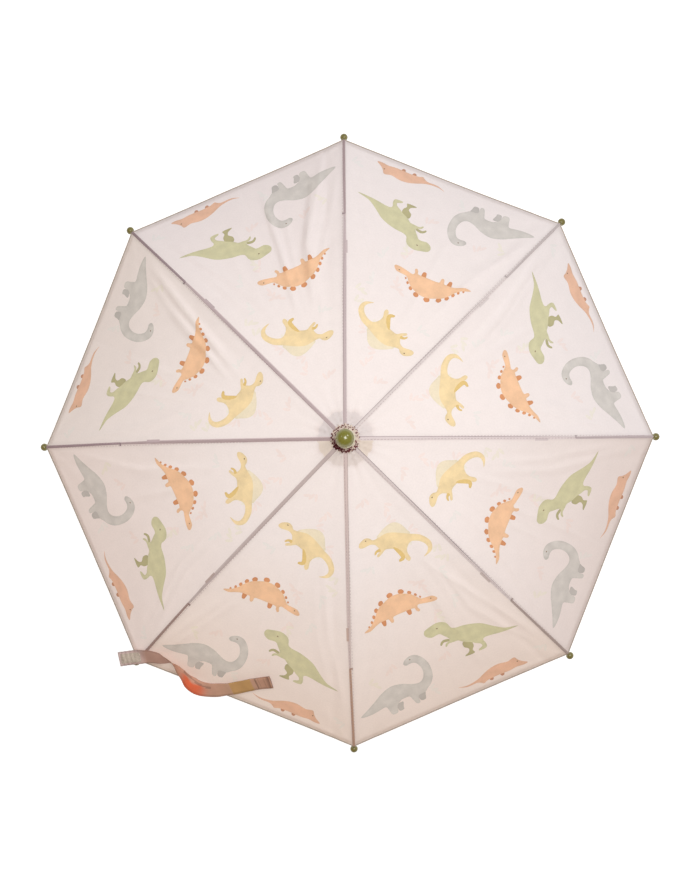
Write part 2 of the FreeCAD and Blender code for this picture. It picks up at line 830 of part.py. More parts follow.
def build_strap():
    """The tie strap, laid across the corner at rib 6 and up the gore towards rib 5, with its two
    fastening patches."""
    turned = rib_rotation(6)
    half = math.radians(STEP / 2)
    along, across = Vector(1, 0, 0), Vector(0, 1, 0)
    uphill = Vector(math.cos(half), math.sin(half), 0)

    def on_gore(out, over):
        """A point above the gore's surface, at the height of the rib's arc for that distance."""
        level = along * out + across * over
        radius = level.dot(uphill) / math.cos(half)
        run = radius - arc_centre.x
        return level + Vector(0, 0, arc_centre.z + math.sqrt(arc * arc - run * run))

    base = on_gore(size["strap_base_out"], size["strap_base_over"])
    free = on_gore(size["strap_end_out"], size["strap_end_over"])
    direction = (free - base).normalize()
    uphill_run = direction.dot(uphill)
    up = (uphill * direction.z - Z_AXIS * uphill_run).normalize()
    side = up.cross(direction).normalize()
    rotation = Rotation(direction, side, Vector(), "XYZ")

    def strip(label, from_base, width, lift):
        """A box along the strap whose width has a name on the sheet."""
        piece = part("Box", Width=f"dims.{width}")
        corner = base + direction * from_base - side * (size[width] / 2) + up * lift
        place = Placement(turned.multVec(corner), turned.multiply(rotation))
        return node(piece, label, place)

    lift = size["strap_lift"]
    strap = strip("tie_strap", 0, "strap_width", lift)
    strap.Length = (free - base).Length
    bind(strap, Height="dims.strap_thickness")
    margin, reach = size["patch_margin"], size["patch_length"] + size["patch_margin"]
    above, below = lift + size["strap_thickness"], lift - size["patch_thickness"]
    for patch in (
        strip("strap_loop_patch", margin, "patch_width", above),
        strip("strap_hook_patch", strap.Length.Value - reach, "patch_width", below),
    ):
        bind(patch, Length="dims.patch_length", Height="dims.patch_thickness")


build_shaft()
build_pins()
build_catch("open_catch", OPEN_CATCH_FACE, 1)
build_catch("close_catch", CLOSE_CATCH_FACE, -1)
build_crown()
build_runner()
build_finial()
build_handle()
both_halves = half_section(1).fuse(half_section(-1)).removeSplitter()
for rib in RIBS:
    build_rib(rib)
    build_rivet(rib)
    build_tip(rib)
    build_stretcher(rib)
    build_canopy_section(rib, both_halves)
build_strap()

doc.recompute()
for piece in doc.Objects:
    if "Invalid" in piece.State or "Error" in piece.State:
        raise RuntimeError(f"{piece.Name} ({piece.Label}) failed: {piece.State}")
for piece in nodes:
    if piece.Shape.isNull() or not piece.Shape.isValid():
        raise RuntimeError(f"{piece.Label} has no valid shape")

os.makedirs("parts", exist_ok=True)
for piece in nodes:
    piece.Shape.exportStep(f"parts/{piece.Label}.step")
    print(f"{piece.Label}: {piece.Shape.Volume:.1f} mm3, {len(piece.Shape.Solids)} solid")
print(f"{len(nodes)} nodes, ribs' arc {arc:.2f}, stretcher {joint_chord:.2f}")
print(f"open runner's pivots at {runner_height:.2f}")
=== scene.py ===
import math
import random

import bpy
import numpy as np
from mathutils import Matrix, Vector
from mathutils.geometry import delaunay_2d_cdt, interpolate_bezier


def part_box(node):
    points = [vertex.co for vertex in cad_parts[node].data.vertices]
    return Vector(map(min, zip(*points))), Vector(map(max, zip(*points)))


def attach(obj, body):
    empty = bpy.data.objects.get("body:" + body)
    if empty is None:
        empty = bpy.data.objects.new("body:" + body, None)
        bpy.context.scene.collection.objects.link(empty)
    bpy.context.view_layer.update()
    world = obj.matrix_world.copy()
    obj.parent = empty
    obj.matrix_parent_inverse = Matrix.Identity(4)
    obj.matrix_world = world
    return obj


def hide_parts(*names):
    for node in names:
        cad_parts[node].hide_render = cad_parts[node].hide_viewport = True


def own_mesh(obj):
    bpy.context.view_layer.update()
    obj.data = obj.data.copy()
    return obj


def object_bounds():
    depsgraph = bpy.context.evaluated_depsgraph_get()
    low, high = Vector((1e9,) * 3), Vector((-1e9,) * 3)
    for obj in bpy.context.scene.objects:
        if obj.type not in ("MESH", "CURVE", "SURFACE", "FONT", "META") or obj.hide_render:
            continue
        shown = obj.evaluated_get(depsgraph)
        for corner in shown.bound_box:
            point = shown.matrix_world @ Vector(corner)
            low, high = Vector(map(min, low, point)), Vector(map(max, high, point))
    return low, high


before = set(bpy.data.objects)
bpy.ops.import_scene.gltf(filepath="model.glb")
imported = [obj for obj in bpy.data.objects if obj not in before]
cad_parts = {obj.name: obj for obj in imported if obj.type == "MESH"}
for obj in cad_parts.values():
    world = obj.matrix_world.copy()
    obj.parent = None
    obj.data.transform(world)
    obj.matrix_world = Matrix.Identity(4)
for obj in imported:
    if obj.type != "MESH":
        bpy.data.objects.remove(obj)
cad_low, cad_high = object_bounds()

# The umbrella's frame, in metres: Z runs up the shaft, rib 1 points along +Y, and the others follow
# clockwise seen from above. A panel lies between two ribs. Its plan coordinates are out, along its
# middle line from the shaft, and over, level across it and positive towards its first rib.
RIBS = range(1, 9)
HALF = math.radians(22.5)
TAN, SIN, COS = math.tan(HALF), math.sin(HALF), math.cos(HALF)
SPAN, PIVOT, CROWN = 0.7, 0.0095, 0.545
START, TURN = math.radians(10), math.radians(28)
ARC = (SPAN / 2 - PIVOT) / (2 * math.sin(TURN / 2) * math.cos(START + TURN / 2))
ARC_OUT, ARC_UP = PIVOT - ARC * math.sin(START), CROWN - ARC * math.cos(START)
LIFT = 0.0023  # of the cloth above the ribs' middle line
HEM = 0.3205  # where the panel's edge crosses its middle line
INNER = 0.008
SAG = 0.005  # of the middle of the hem
PITCH, ROW = 0.0034, 0.866  # of the cloth's net, and its rows' distance as a share of it
NET_MARGIN = 0.0024  # between the border and the net's own points
STRIP = 0.030  # from a rib to the cut between its middle piece and its side pieces
STRIP_KEEP, SIDE_KEEP = 0.475, 0.01  # of their widths when the umbrella is shut
HEM_TURNED = 0.0053  # how much cloth the folded hem takes
TIPS_UP = 0.3934  # the height of the tip balls
JOINT_OUT = 0.223  # of the joints between ribs and stretchers, from the shaft
PATCH_ALONG, PATCH_ACROSS, PATCH_THICK = 0.006, 0.0095, 0.0006  # of the patch over each joint


def linear(red, green, blue):
    """A linear colour from its eight-bit display values."""

    def channel(x):
        x /= 255
        return x / 12.92 if x <= 0.04045 else ((x + 0.055) / 1.055) ** 2.4

    return (channel(red), channel(green), channel(blue), 1.0)


# ---- materials ----


def add_node(tree, kind, inputs=None, **settings):
    """A shader node, with its settings and the fixed values of its inputs."""
    node = tree.nodes.new(kind)
    for name, value in settings.items():
        setattr(node, name, value)
    for socket, value in (inputs or {}).items():
        node.inputs[socket].default_value = value
    return node


class Finish:
    """A procedural material, built one node at a time."""

    def __init__(self, name, colour, rough, **sockets):
        self.material = bpy.data.materials.new(name)
        self.material.use_nodes = True
        self.tree = self.material.node_tree
        self.shader = self.tree.nodes["Principled BSDF"]
        self.set("Base Color", colour)
        self.set("Roughness", rough)
        for socket, value in sockets.items():
            self.set(socket.replace("_", " "), value)
        self.coordinates = self.node("ShaderNodeTexCoord").outputs["Object"]

    def set(self, socket, value):
        self.shader.inputs[socket].default_value = value

    def node(self, kind, inputs=None, **settings):
        return add_node(self.tree, kind, inputs, **settings)

    def link(self, source, target):
        self.tree.links.new(source, target)

    def noise(self, scale, detail=3.0, coordinates=None, stretch=None):
        source = coordinates or self.coordinates
        if stretch:
            mapping = self.node("ShaderNodeMapping", {"Scale": stretch})
            self.link(source, mapping.inputs["Vector"])
            source = mapping.outputs["Vector"]
        noise = self.node("ShaderNodeTexNoise", {"Scale": scale, "Detail": detail})
        self.link(source, noise.inputs["Vector"])
        return noise.outputs["Fac"]

    def span(self, source, low, high, low_in=0.3, high_in=0.7):
        ends = {"From Min": low_in, "From Max": high_in, "To Min": low, "To Max": high}
        ramp = self.node("ShaderNodeMapRange", ends)
        self.link(source, ramp.inputs["Value"])
        return ramp.outputs["Result"]

    def math(self, operation, first, second):
        node = self.node("ShaderNodeMath", operation=operation)
        for socket, value in zip(node.inputs, (first, second)):
            if isinstance(value, (int, float)):
                socket.default_value = value
            else:
                self.link(value, socket)
        return node.outputs[0]

    def scaled(self, colour, factor):
        """A colour output, or a fixed colour, times a factor."""
        node = self.node("ShaderNodeVectorMath", operation="SCALE")
        if isinstance(colour, tuple):
            node.inputs[0].default_value = colour[:3]
        else:
            self.link(colour, node.inputs[0])
        self.link(factor, node.inputs["Scale"])
        return node.outputs["Vector"]

    def bump(self, height, distance, strength=1.0):
        bump = self.node("ShaderNodeBump", {"Distance": distance, "Strength": strength})
        self.link(height, bump.inputs["Height"])
        self.link(bump.outputs["Normal"], self.shader.inputs["Normal"])
        return self

    def mottled(self, colour, scale, low, high):
        """Lets the colour wander a little, as moulded, worn or plated surfaces do."""
        factor = self.span(self.noise(scale), low, high)
        self.link(self.scaled(colour, factor), self.shader.inputs["Base Color"])
        return self

    def uneven_gloss(self, scale, low, high):
        self.link(self.span(self.noise(scale), low, high), self.shader.inputs["Roughness"])
        return self


def cloth_finish(name, weave, through):
    """Woven cloth, dyed by the mesh's own colours, which on the canopy, rosette and strap also carry
    painted shade. Their alpha is how much ink lies on the cloth.
    """
    finish = Finish(name, (0.8, 0.8, 0.8, 1), 0.85, Specular_IOR_Level=0.15)
    dye = finish.node("ShaderNodeAttribute", attribute_name="dye")
    rim = finish.node("ShaderNodeAttribute", attribute_name="rim").outputs["Fac"]
    flat = finish.node("ShaderNodeTexCoord").outputs["UV"]
    ink = dye.outputs["Alpha"]
    wash = finish.span(finish.noise(70, 4, flat), -1, 1)
    grain = finish.span(finish.noise(520, 2, flat), -1, 1)
    depth = finish.math("MULTIPLY_ADD", ink, 0.075)
    depth.node.inputs[2].default_value = 0.012
    shade = finish.math("MULTIPLY", wash, depth)
    shade = finish.math("ADD", shade, finish.math("MULTIPLY", grain, 0.02))
    edge = finish.math("MULTIPLY", finish.math("MULTIPLY", rim, ink), -0.08)
    factor = finish.math("ADD", finish.math("ADD", shade, edge), 1.0)
    colour = finish.scaled(dye.outputs["Color"], factor)
    finish.link(colour, finish.shader.inputs["Base Color"])
    height = finish.math(
        "ADD",
        finish.noise(weave, 1, flat, (1, 0.15, 1)),
        finish.noise(weave, 1, flat, (0.15, 1, 1)),
    )
    finish.bump(height, 0.00012, 0.6)
    glow = finish.node("ShaderNodeBsdfTranslucent")
    finish.link(colour, glow.inputs["Color"])
    mix = finish.node("ShaderNodeMixShader", {"Fac": through})
    finish.link(finish.shader.outputs["BSDF"], mix.inputs[1])
    finish.link(glow.outputs["BSDF"], mix.inputs[2])
    output = finish.tree.nodes["Material Output"]
    finish.link(mix.outputs["Shader"], output.inputs["Surface"])
    return finish.material


CLOTH = cloth_finish("printed_cloth", 900, 0.18)
STRAP_CLOTH = cloth_finish("strap_cloth", 900, 0.05)
THREAD = Finish("thread", linear(150, 146, 132), 0.8).mottled(linear(176, 172, 158), 900, 0.8, 1.1)
SEAM_THREAD = Finish("seam_thread", linear(196, 176, 178), 0.8)
SEAM_THREAD.mottled(linear(200, 182, 184), 900, 0.85, 1.1)
OLIVE = Finish("olive_plastic", linear(124, 122, 50), 0.3, Coat_Weight=0.6, Coat_Roughness=0.06)
OLIVE.mottled(linear(126, 124, 52), 60, 0.96, 1.04).uneven_gloss(90, 0.22, 0.34)
OLIVE.bump(OLIVE.noise(240, 2), 0.00004, 0.5)
PALE_OLIVE = Finish("pale_olive_plastic", linear(214, 208, 178), 0.35, Subsurface_Weight=0.2)
PALE_OLIVE.set("Subsurface Radius", (0.004, 0.004, 0.002))
PALE_OLIVE.mottled(linear(216, 210, 180), 80, 0.94, 1.03).uneven_gloss(120, 0.3, 0.42)
TIP = Finish("tip_plastic", linear(120, 112, 58), 0.35, Coat_Weight=0.4, Coat_Roughness=0.1)
TIP.mottled(linear(122, 114, 60), 200, 0.9, 1.08).uneven_gloss(300, 0.3, 0.42)
NYLON = Finish("notch_nylon", linear(226, 222, 210), 0.45, Subsurface_Weight=0.1)
NYLON.set("Subsurface Radius", (0.003, 0.003, 0.002))
NYLON.mottled(linear(228, 224, 212), 70, 0.94, 1.02).uneven_gloss(150, 0.38, 0.52)
TUBE = Finish("shaft_tube_steel", linear(196, 198, 200), 0.2, Metallic=1.0)
TUBE.link(
    TUBE.span(TUBE.noise(60, 4, stretch=(14, 14, 0.6)), 0.14, 0.34),
    TUBE.shader.inputs["Roughness"],
)
TUBE.bump(TUBE.noise(90, 3, stretch=(14, 14, 0.5)), 0.00002, 0.4)
WIRE = Finish("plated_steel", linear(186, 188, 190), 0.3, Metallic=1.0)
WIRE.mottled(linear(188, 190, 192), 50, 0.82, 1.05).uneven_gloss(160, 0.22, 0.42)
WIRE.bump(WIRE.noise(700, 2), 0.00002, 0.5)
LOOPS = Finish("fastener_tape", linear(196, 182, 168), 0.95, Sheen_Weight=0.4)
LOOPS.mottled(linear(198, 184, 170), 900, 0.8, 1.1).bump(LOOPS.noise(1400, 2), 0.0003)

CAD_FINISHES = {
    TUBE: ["shaft_tube"],
    NYLON: ["crown_notch", "runner_sleeve"],
    OLIVE: ["finial_ball", "handle", "handle_end_cap"],
    PALE_OLIVE: ["finial_ferrule", "handle_collar"],
    TIP: [f"rib_tip_{rib}" for rib in RIBS],
    WIRE: [
        "crown_wire", "runner_wire", "crown_pin", "runner_stop_pin", "catch_pins", "handle_pin",
        "open_catch", "close_catch",
        *(f"{kind}_{rib}" for kind in ("rib", "rib_rivet", "stretcher") for rib in RIBS),
    ],
}  # fmt: skip
for finish, names in CAD_FINISHES.items():
    for name in names:
        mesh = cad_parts[name].data
        mesh.materials.clear()
        mesh.materials.append(finish.material)

# ---- the canopy's surface ----


def wander(panel, out, over):
    """Soft waves that no two panels share."""
    chance = random.Random(40 + panel)
    total = np.zeros_like(out)
    for _ in range(9):
        heading = chance.uniform(0, 2 * math.pi)
        shift = chance.uniform(0, 2 * math.pi)
        rate = chance.uniform(25, 95)
        along = out * math.cos(heading) + over * math.sin(heading)
        total += np.sin(rate * along + shift) * 14 / rate
    return total


def panel_creases(panel):
    """Pinched folds: points (out, over), depth and width, all in millimetres. They run in from the
    tips beside the ribs, and down the middle of the panels."""
    chance = random.Random(70 + panel)
    creases = []
    for side in (-1, 1):
        for spread in (0.0, chance.uniform(9, 15)):
            line = [
                (300, side * (120 - spread)),
                (chance.uniform(205, 225), side * (62 - spread)),
                (chance.uniform(120, 165), side * chance.uniform(16, 34)),
            ]
            creases.append((line, chance.uniform(0.7, 1.6), chance.uniform(3.2, 4.8)))
    for _ in range(3):
        over = chance.uniform(-34, 34)
        line = [(chance.uniform(255, 312), over * 1.5), (chance.uniform(100, 170), over * 0.6)]
        creases.append((line, chance.uniform(0.4, 1.0), chance.uniform(3.2, 5.4)))
    return creases + DEEP_CREASES.get(panel, [])


DEEP_CREASES = {
    8: [
        ([(314, -104), (217, -47), (140, -22)], 5.0, 5.0),
        ([(302, -88), (196, -32)], 3.0, 3.8),
        ([(300, -22), (215, -15), (140, -5)], 3.6, 4.0),
    ],
    7: [([(290, -106), (197, -56), (125, -17)], 3.4, 5.0), ([(240, -66), (140, -12)], 2.4, 4.0)],
    1: [([(290, -110), (204, -57), (140, -30)], 2.6, 4.6)],
    2: [([(290, 110), (204, 55), (140, 27)], 2.0, 4.2)],
    4: [([(300, 40), (220, 24), (150, 10)], 1.4, 4.4)],
}


def crease_lift(line, depth, width, out, over):
    """The height of one crease, which fades out towards its ends."""
    points = np.array(line) / 1000
    steps = np.hypot(*np.diff(points, axis=0).T)
    nearest = np.full(out.shape, np.inf)
    place = np.zeros(out.shape)
    before = 0.0
    for (ax, ay), (bx, by), step in zip(points, points[1:], steps):
        share = ((out - ax) * (bx - ax) + (over - ay) * (by - ay)) / step**2
        share = np.clip(share, 0, 1)
        gap = np.hypot(out - ax - share * (bx - ax), over - ay - share * (by - ay))
        closer = gap < nearest
        nearest = np.where(closer, gap, nearest)
        place = np.where(closer, before + share * step, place)
        before += step
    along = place / before
    fade = np.clip(along * 5, 0, 1) * np.clip((1 - along) * 3, 0, 1)
    return depth / 1000 * fade * np.exp(-((nearest * 1000 / width) ** 2))


def relief(panel, out, over):
    """How far the cloth stands off the taut surface between two ribs."""
    share = over / (out * TAN)
    free = np.clip(1 - share**2, 0, 1)
    far = out / HEM
    lift = -SAG * free * far**1.5
    lift += 0.0013 * wander(panel, out, over) * free * far
    chance = random.Random(panel)
    for side in (-1, 1):
        back, aside = HEM - out, side * (side * HEM * TAN - over)
        reach = np.hypot(back, aside) + 1e-6
        bearing = np.arctan2(aside, back)
        fan = np.sin(bearing * chance.uniform(11, 15) + chance.uniform(0, 6))
        lift += 0.0013 * fan * free * np.exp(-reach / 0.07)
    rays = np.cos(share * 3 * math.pi + chance.uniform(-1, 1))
    lift += 0.0008 * rays * free * np.exp(-(out - 0.014) / 0.03)
    lift -= 0.0004 * np.exp(-np.abs(over) / 0.004) * far
    for line, depth, width in panel_creases(panel):
        lift += crease_lift(line, depth, width, out, over) * np.clip(4 * free, 0, 1)
    for side in (-1, 1):
        to_rib = out * SIN - side * over * COS
        lift += 0.0006 * np.exp(-((to_rib / 0.0017) ** 2))
        # The patch keeps the cloth off the stretcher's end when the umbrella shuts.
        to_joint = out * COS + side * over * SIN - JOINT_OUT
        patch = (to_rib / PATCH_ACROSS) ** 4 + (to_joint / PATCH_ALONG) ** 4
        lift += PATCH_THICK * np.exp(-patch)
        line = 0.011 + 0.004 * chance.random() + 0.01 * far
        depth = 0.0004 + 0.0008 * chance.random()
        lift -= depth * far * np.exp(-(((to_rib - line) / 0.005) ** 2))
    return lift


def height(panel, out, over):
    run = out / COS - ARC_OUT
    taut = ARC_UP + np.sqrt((ARC + LIFT) ** 2 - run**2)
    return taut + relief(panel, out, over)


def frame_of(panel):
    """The level directions out and over of a panel. A rib counts as half a panel less."""
    azimuth = (panel - 0.5) * 2 * HALF
    out = np.array((math.sin(azimuth), math.cos(azimuth), 0))
    over = np.array((-math.cos(azimuth), math.sin(azimuth), 0))
    return out, over


def on_cloth(panel, out, over, above=0.0):
    """Points on a panel, and the cloth's normals there."""
    out, over = np.asarray(out, float), np.asarray(over, float)
    step = 0.0004
    up = height(panel, out, over)
    slope_out = (height(panel, out + step, over) - up) / step
    slope_over = (height(panel, out, over + step) - up) / step
    along, across = frame_of(panel)
    level = out[..., None] * along + over[..., None] * across
    points = level + up[..., None] * np.array((0, 0, 1))
    normals = -slope_out[..., None] * along - slope_over[..., None] * across
    normals = normals + np.array((0, 0, 1))
    normals /= np.linalg.norm(normals, axis=-1, keepdims=True)
    return points + normals * above, normals


def flat_out(out):
    """How far down the panel a point lies once the panel is spread flat."""
    first = math.asin((INNER / COS - ARC_OUT) / ARC)
    return (np.arcsin((out / COS - ARC_OUT) / ARC) - first) * ARC * COS


# ---- the print ----


def arch(before, start, end, after, steps):
    """A smooth curve between two points that have a neighbour each, without its last point."""
    leaving, arriving = start + (end - before) / 6, end - (after - start) / 6
    return interpolate_bezier(start, leaving, arriving, end, steps + 1)[:-1]


def smooth_outline(points):
    """A closed curve through the points."""
    count = len(points)
    curve = []
    for i in range(count):
        four = [Vector(points[(i + j) % count]).to_3d() for j in (-1, 0, 1, 2)]
        curve += [(p.x, p.y) for p in arch(*four, 3)]
    return curve


def blob(x, y, wide, tall, turn=0.0, count=6):
    """A small round or leaf-shaped patch."""
    cosine, sine = math.cos(turn), math.sin(turn)
    ring = []
    for i in range(count):
        angle = 2 * math.pi * i / count
        a, b = wide / 2 * math.cos(angle), tall / 2 * math.sin(angle)
        ring.append((x + a * cosine - b * sine, y + a * sine + b * cosine))
    return ring


CLOTH_DYE = linear(247, 238, 236)
YELLOW, YELLOW_PALE, YELLOW_DARK = linear(245, 222, 176), linear(244, 232, 206), linear(232, 202, 136)
ORANGE, ORANGE_DARK = linear(246, 203, 166), linear(222, 156, 112)
GREEN, GREEN_DARK = linear(215, 211, 174), linear(188, 182, 142)
GREY, GREY_DARK = linear(216, 211, 206), linear(200, 195, 191)
PEACH, PEACH_DARK = linear(236, 193, 167), linear(205, 154, 128)
EYE = linear(138, 112, 92)

# Each creature's outline is in millimetres from its middle, with x over towards the panel's first
# rib and y out towards the hem, where its feet are.
SAIL = [
    (-17, -12), (-12, -16), (-6, -19), (0, -21), (6, -21.5), (11, -19.5), (15, -15), (18, -8), (20, -2),
    (8, -4), (-8, -6),
]
SAIL_BACK = [
    (-40, -11), (-37, -14.5), (-30, -17), (-25, -15), (-22, -11.5), (-14, -12), (-6, -13), (2, -11),
    (10, -7), (19, -2), (28, 2.5), (34, 8), (38, 15), (37.5, 22), (33, 27), (24, 29), (30, 25),
    (32.5, 20), (30, 14), (24, 9), (17, 7), (11, 11), (8.5, 17), (9.5, 24), (7, 27), (4, 24),
    (3.5, 16), (1, 10), (-6, 6), (-13, 4), (-18, 6.5), (-24, 9), (-25, 6.5), (-20, 3.5), (-20, -1),
    (-22, -5.5), (-27, -8), (-35, -7.5), (-39, -8.5),
]
SAIL_LEG = [
    (-4.5, 5.5), (0, 8), (4, 16), (4, 21), (1, 23.5), (-4, 23.5), (-3.5, 21), (-0.5, 19.5), (-1.5, 15),
]
SAIL_ARM = [(-19, 0.5), (-24, 1), (-27, 4), (-26, 5.5), (-23, 3.5), (-19, 4)]
PLATED = [
    (-47, 16), (-40, 13), (-36, 11), (-30, 6), (-25, 0), (-19, -5), (-12, -8), (-3, -11), (6, -11),
    (14, -8), (20, -4.5), (25, 1), (29, 5), (37, 6), (42, 7), (46, 11), (44, 13.5), (37, 13),
    (28, 11), (23, 10), (21, 12.5), (22.5, 16.5), (20.5, 18), (18, 15.5), (16.5, 12), (5, 11.5),
    (-6, 11.5), (-9.5, 12.5), (-10, 16.5), (-12, 18), (-14, 16.5), (-15, 12.5), (-18, 12),
    (-25, 12), (-32, 14), (-40, 17),
]
PLATED_LEGS = [
    [(-18, 9), (-19.5, 16.5), (-21, 18), (-23.5, 17), (-23.5, 10)],
    [(7.5, 10), (8, 16.5), (10.5, 17.5), (12.5, 16), (12.5, 10)],
]
PLATES = [
    (-39, 12, 3.2), (-34, 8, 4), (-29.5, 3, 4.8), (-24, -3, 5.8), (-16, -8.5, 7), (-3, -13, 7.6),
    (10.5, -12, 7.2), (19, -7, 5.2), (24.5, -2, 3.8), (28.5, 2.5, 2.8),
]
GRAZER = [
    (-50, 17), (-38, 11), (-28, 6), (-18, 0.5), (-8, -3), (0, -3.5), (10, -1), (18, 3), (26, 5.5),
    (32, 4), (36, -1), (37.5, -8), (36, -14), (33, -18.5), (28, -20), (23, -19.5), (20, -22),
    (23, -26), (30, -28.5), (37, -27), (43, -21), (46.5, -13), (47, -4), (45, 5), (40, 12),
    (34, 16), (30, 19), (21, 20), (20, 28), (15.5, 28), (13, 21), (11, 16.5), (4, 16), (0, 17),
    (-6, 21), (-8, 28.5), (-15, 29), (-17, 21), (-19, 17), (-28, 18), (-38, 19),
]
GRAZER_LEGS = [
    [(30, 17), (29, 22), (27, 27), (21.5, 26.5), (21, 19)],
    [(2, 19), (0, 25), (-0.5, 28), (-6, 28), (-6, 20)],
]
HUNTER = [
    (-49, -15), (-47, -19), (-40, -21), (-32, -22.5), (-25, -21), (-20, -17), (-18, -11), (-13, -8.5),
    (-4, -7.5), (6, -5), (16, -1), (24, 5), (32, 11), (40, 15.5), (54, 19), (40, 19), (30, 18),
    (21, 16.5), (13, 16), (10.5, 18.5), (12, 23), (11, 28), (2, 28.5), (2, 26.5), (7, 24.5),
    (6, 21), (1, 18), (-4, 14.5), (-11, 11), (-16, 7), (-21, 6.5), (-27, 6), (-31, 8.5),
    (-32, 7.5), (-30, 4.5), (-25, 3), (-25, 0), (-29, -5), (-32, -8.5), (-36, -9), (-42, -8.5),
    (-47, -11),
]
HUNTER_LEG = [
    (-12, 11), (-3, 14), (-2, 20), (-5, 24), (-4, 28.5), (-15, 28.5), (-14.5, 27), (-10, 25),
    (-8.5, 21), (-13, 17),
]
HUNTER_ARM = [(-25, 1), (-31, -0.5), (-35, 1), (-37, 4), (-35.5, 5), (-32, 2.5), (-26, 3.5)]
HORNED = [
    (-41, 1), (-33, 3), (-25, 3), (-15, 1), (-7, -2.5), (2, -5.5), (12, -6.5), (23, -4.5), (30, -6),
    (33, -5.5), (35, -2), (39, 2), (45, 6), (39, 7), (31, 6), (21, 7), (7, 6.5), (-5, 7),
    (-11, 9), (-14, 7), (-19, 5), (-31, 5),
]


def placed(points, over, out, size=1.0):
    """An outline smoothed and moved to its place on the panel, in metres."""
    return [((out + y * size) / 1000, (over + x * size) / 1000) for x, y in smooth_outline(points)]


def the_print():
    """Every printed shape of a panel, back to front, as its outline, its colour and its ink."""
    shapes = []

    def add(points, creature, colour, ink=1.0):
        shapes.append((placed(points, *creature), colour, ink))

    chance = random.Random(11)
    tints = [linear(243, 236, 226), linear(247, 233, 229), linear(242, 237, 234)]
    for _ in range(20):
        out = chance.uniform(70, 300)
        over = chance.uniform(-1, 1) * (out * TAN - 16)
        turn = chance.uniform(0, math.pi)
        tint = chance.choice(tints)
        for leaf in (-1, 0, 1):
            x, y = over + 5 * leaf * math.cos(turn + 1), out + 5 * leaf * math.sin(turn + 1)
            add(blob(0, 0, 9, 3.5, turn + leaf * 0.7), (x, y), tint, 0.2)
    sail = (4, 122.5, 0.945)
    add(SAIL, sail, YELLOW_PALE, 0.7)
    add(SAIL_BACK, sail, YELLOW)
    add(SAIL_LEG, sail, YELLOW_DARK)
    add(SAIL_ARM, sail, YELLOW_DARK)
    add(blob(-30, -14, 1.8, 1.3), sail, EYE)
    plated = (-22, 187, 0.956)
    for x, y, wide in PLATES:
        lean = math.atan2(y - 12, x) + math.pi / 2
        add(blob(x, y, wide, wide * 0.8, lean, 5), plated, ORANGE_DARK)
    for leg in PLATED_LEGS:
        add(leg, plated, ORANGE_DARK, 0.9)
    add(PLATED, plated, ORANGE)
    add(blob(39, 9, 1.6, 1.2), plated, EYE)
    grazer = (-62, 275, 0.98)
    for leg in GRAZER_LEGS:
        add(leg, grazer, GREY_DARK, 0.8)
    add(GRAZER, grazer, GREY)
    add(blob(29, -24.5, 1.7, 1.3), grazer, EYE)
    hunter = (40, 246, 0.975)
    add(HUNTER_LEG, hunter, GREEN_DARK, 0.9)
    add(HUNTER_ARM, hunter, GREEN_DARK, 0.9)
    add(HUNTER, hunter, GREEN)
    add(blob(-33, -16, 2.2, 1.2, 0.4), hunter, EYE)
    horned = (43, 304, 0.98)
    for x in (-1, 12.5):
        add(blob(x, 7, 5, 5), horned, PEACH_DARK, 0.8)
    add(HORNED, horned, PEACH)
    add(blob(34, 0, 1.6, 1.2), horned, EYE)
    return shapes


def beside_rib(side, line):
    """A band beside a rib, from its stations' distances along the rib and out from it."""
    near = [(along, inner) for along, inner, _ in line]
    far = [(along, outer) for along, _, outer in reversed(line)]
    corners = []
    for along, reach in near + far:
        corners.append((along * COS + reach * SIN, side * (along * SIN - reach * COS)))
    return corners


HEM_FOLD_DYE = linear(190, 170, 156)
HEM_LINE_TONE = (200, 182, 170)

# Painted shade: the cloth is painted darker towards the hem, and warmer there in panels 3 to 7, for
# light that falls off towards the hem: how much less red, green and blue it has.
SHADE_FROM = 0.13
HEM_SHADE = {
    1: (0.07, 0.06, 0.04), 2: (0.07, 0.06, 0.04), 3: (0.13, 0.17, 0.19), 4: (0.06, 0.13, 0.20),
    5: (0.02, 0.10, 0.18), 6: (0.03, 0.08, 0.11), 7: (0.08, 0.10, 0.13), 8: (0.09, 0.09, 0.07),
}  # fmt: skip
TIP_END = HEM / COS
TIE = 0.253  # from the shaft to the thread that ties the seam to its rib

# A seam's stations: how far along the rib they are, how far the seam has strayed from the rib
# towards the next one, half the width of its core, and half its whole width.
SEAM = [
    (0, 0, 0.0014, 0.0023),
    (0.2, 0.0014, 0.0013, 0.0020),
    (TIE, 0.0012, 0.0010, 0.0013),
    (TIP_END, 0, 0.0016, 0.0016),
]
# The seams' tones are partly painted shade: they change from rib to rib with how the light falls,
# darkest on ribs 5 to 8, and the edge tone is a painted shadow line along the seam's raised edge.
SEAM_TONES = {  # the core, its sides, its raised edge, and the seam beyond the tie
    1: ((210, 195, 197), (234, 222, 222), (196, 179, 182), (187, 168, 171)),
    2: ((236, 226, 225), (240, 230, 228), (198, 186, 187), (212, 202, 202)),
    3: ((238, 226, 227), (236, 224, 225), (192, 176, 180), (208, 194, 197)),
    4: ((228, 216, 215), (226, 214, 213), (166, 152, 154), (184, 166, 160)),
    5: ((226, 209, 206), (222, 204, 201), (206, 188, 184), (198, 163, 145)),
    6: ((210, 195, 193), (212, 198, 196), (196, 178, 176), (178, 152, 145)),
    7: ((194, 174, 176), (228, 213, 214), (190, 168, 171), (176, 154, 159)),
    8: ((203, 186, 188), (228, 214, 214), (186, 166, 170), (169, 150, 155)),
}
DISC_TONES = {  # by panel
    1: (238, 229, 228), 2: (241, 232, 231), 3: (241, 228, 217), 4: (238, 228, 224),
    5: (239, 229, 225), 6: (240, 228, 217), 7: (234, 226, 226), 8: (236, 228, 227),
}  # fmt: skip


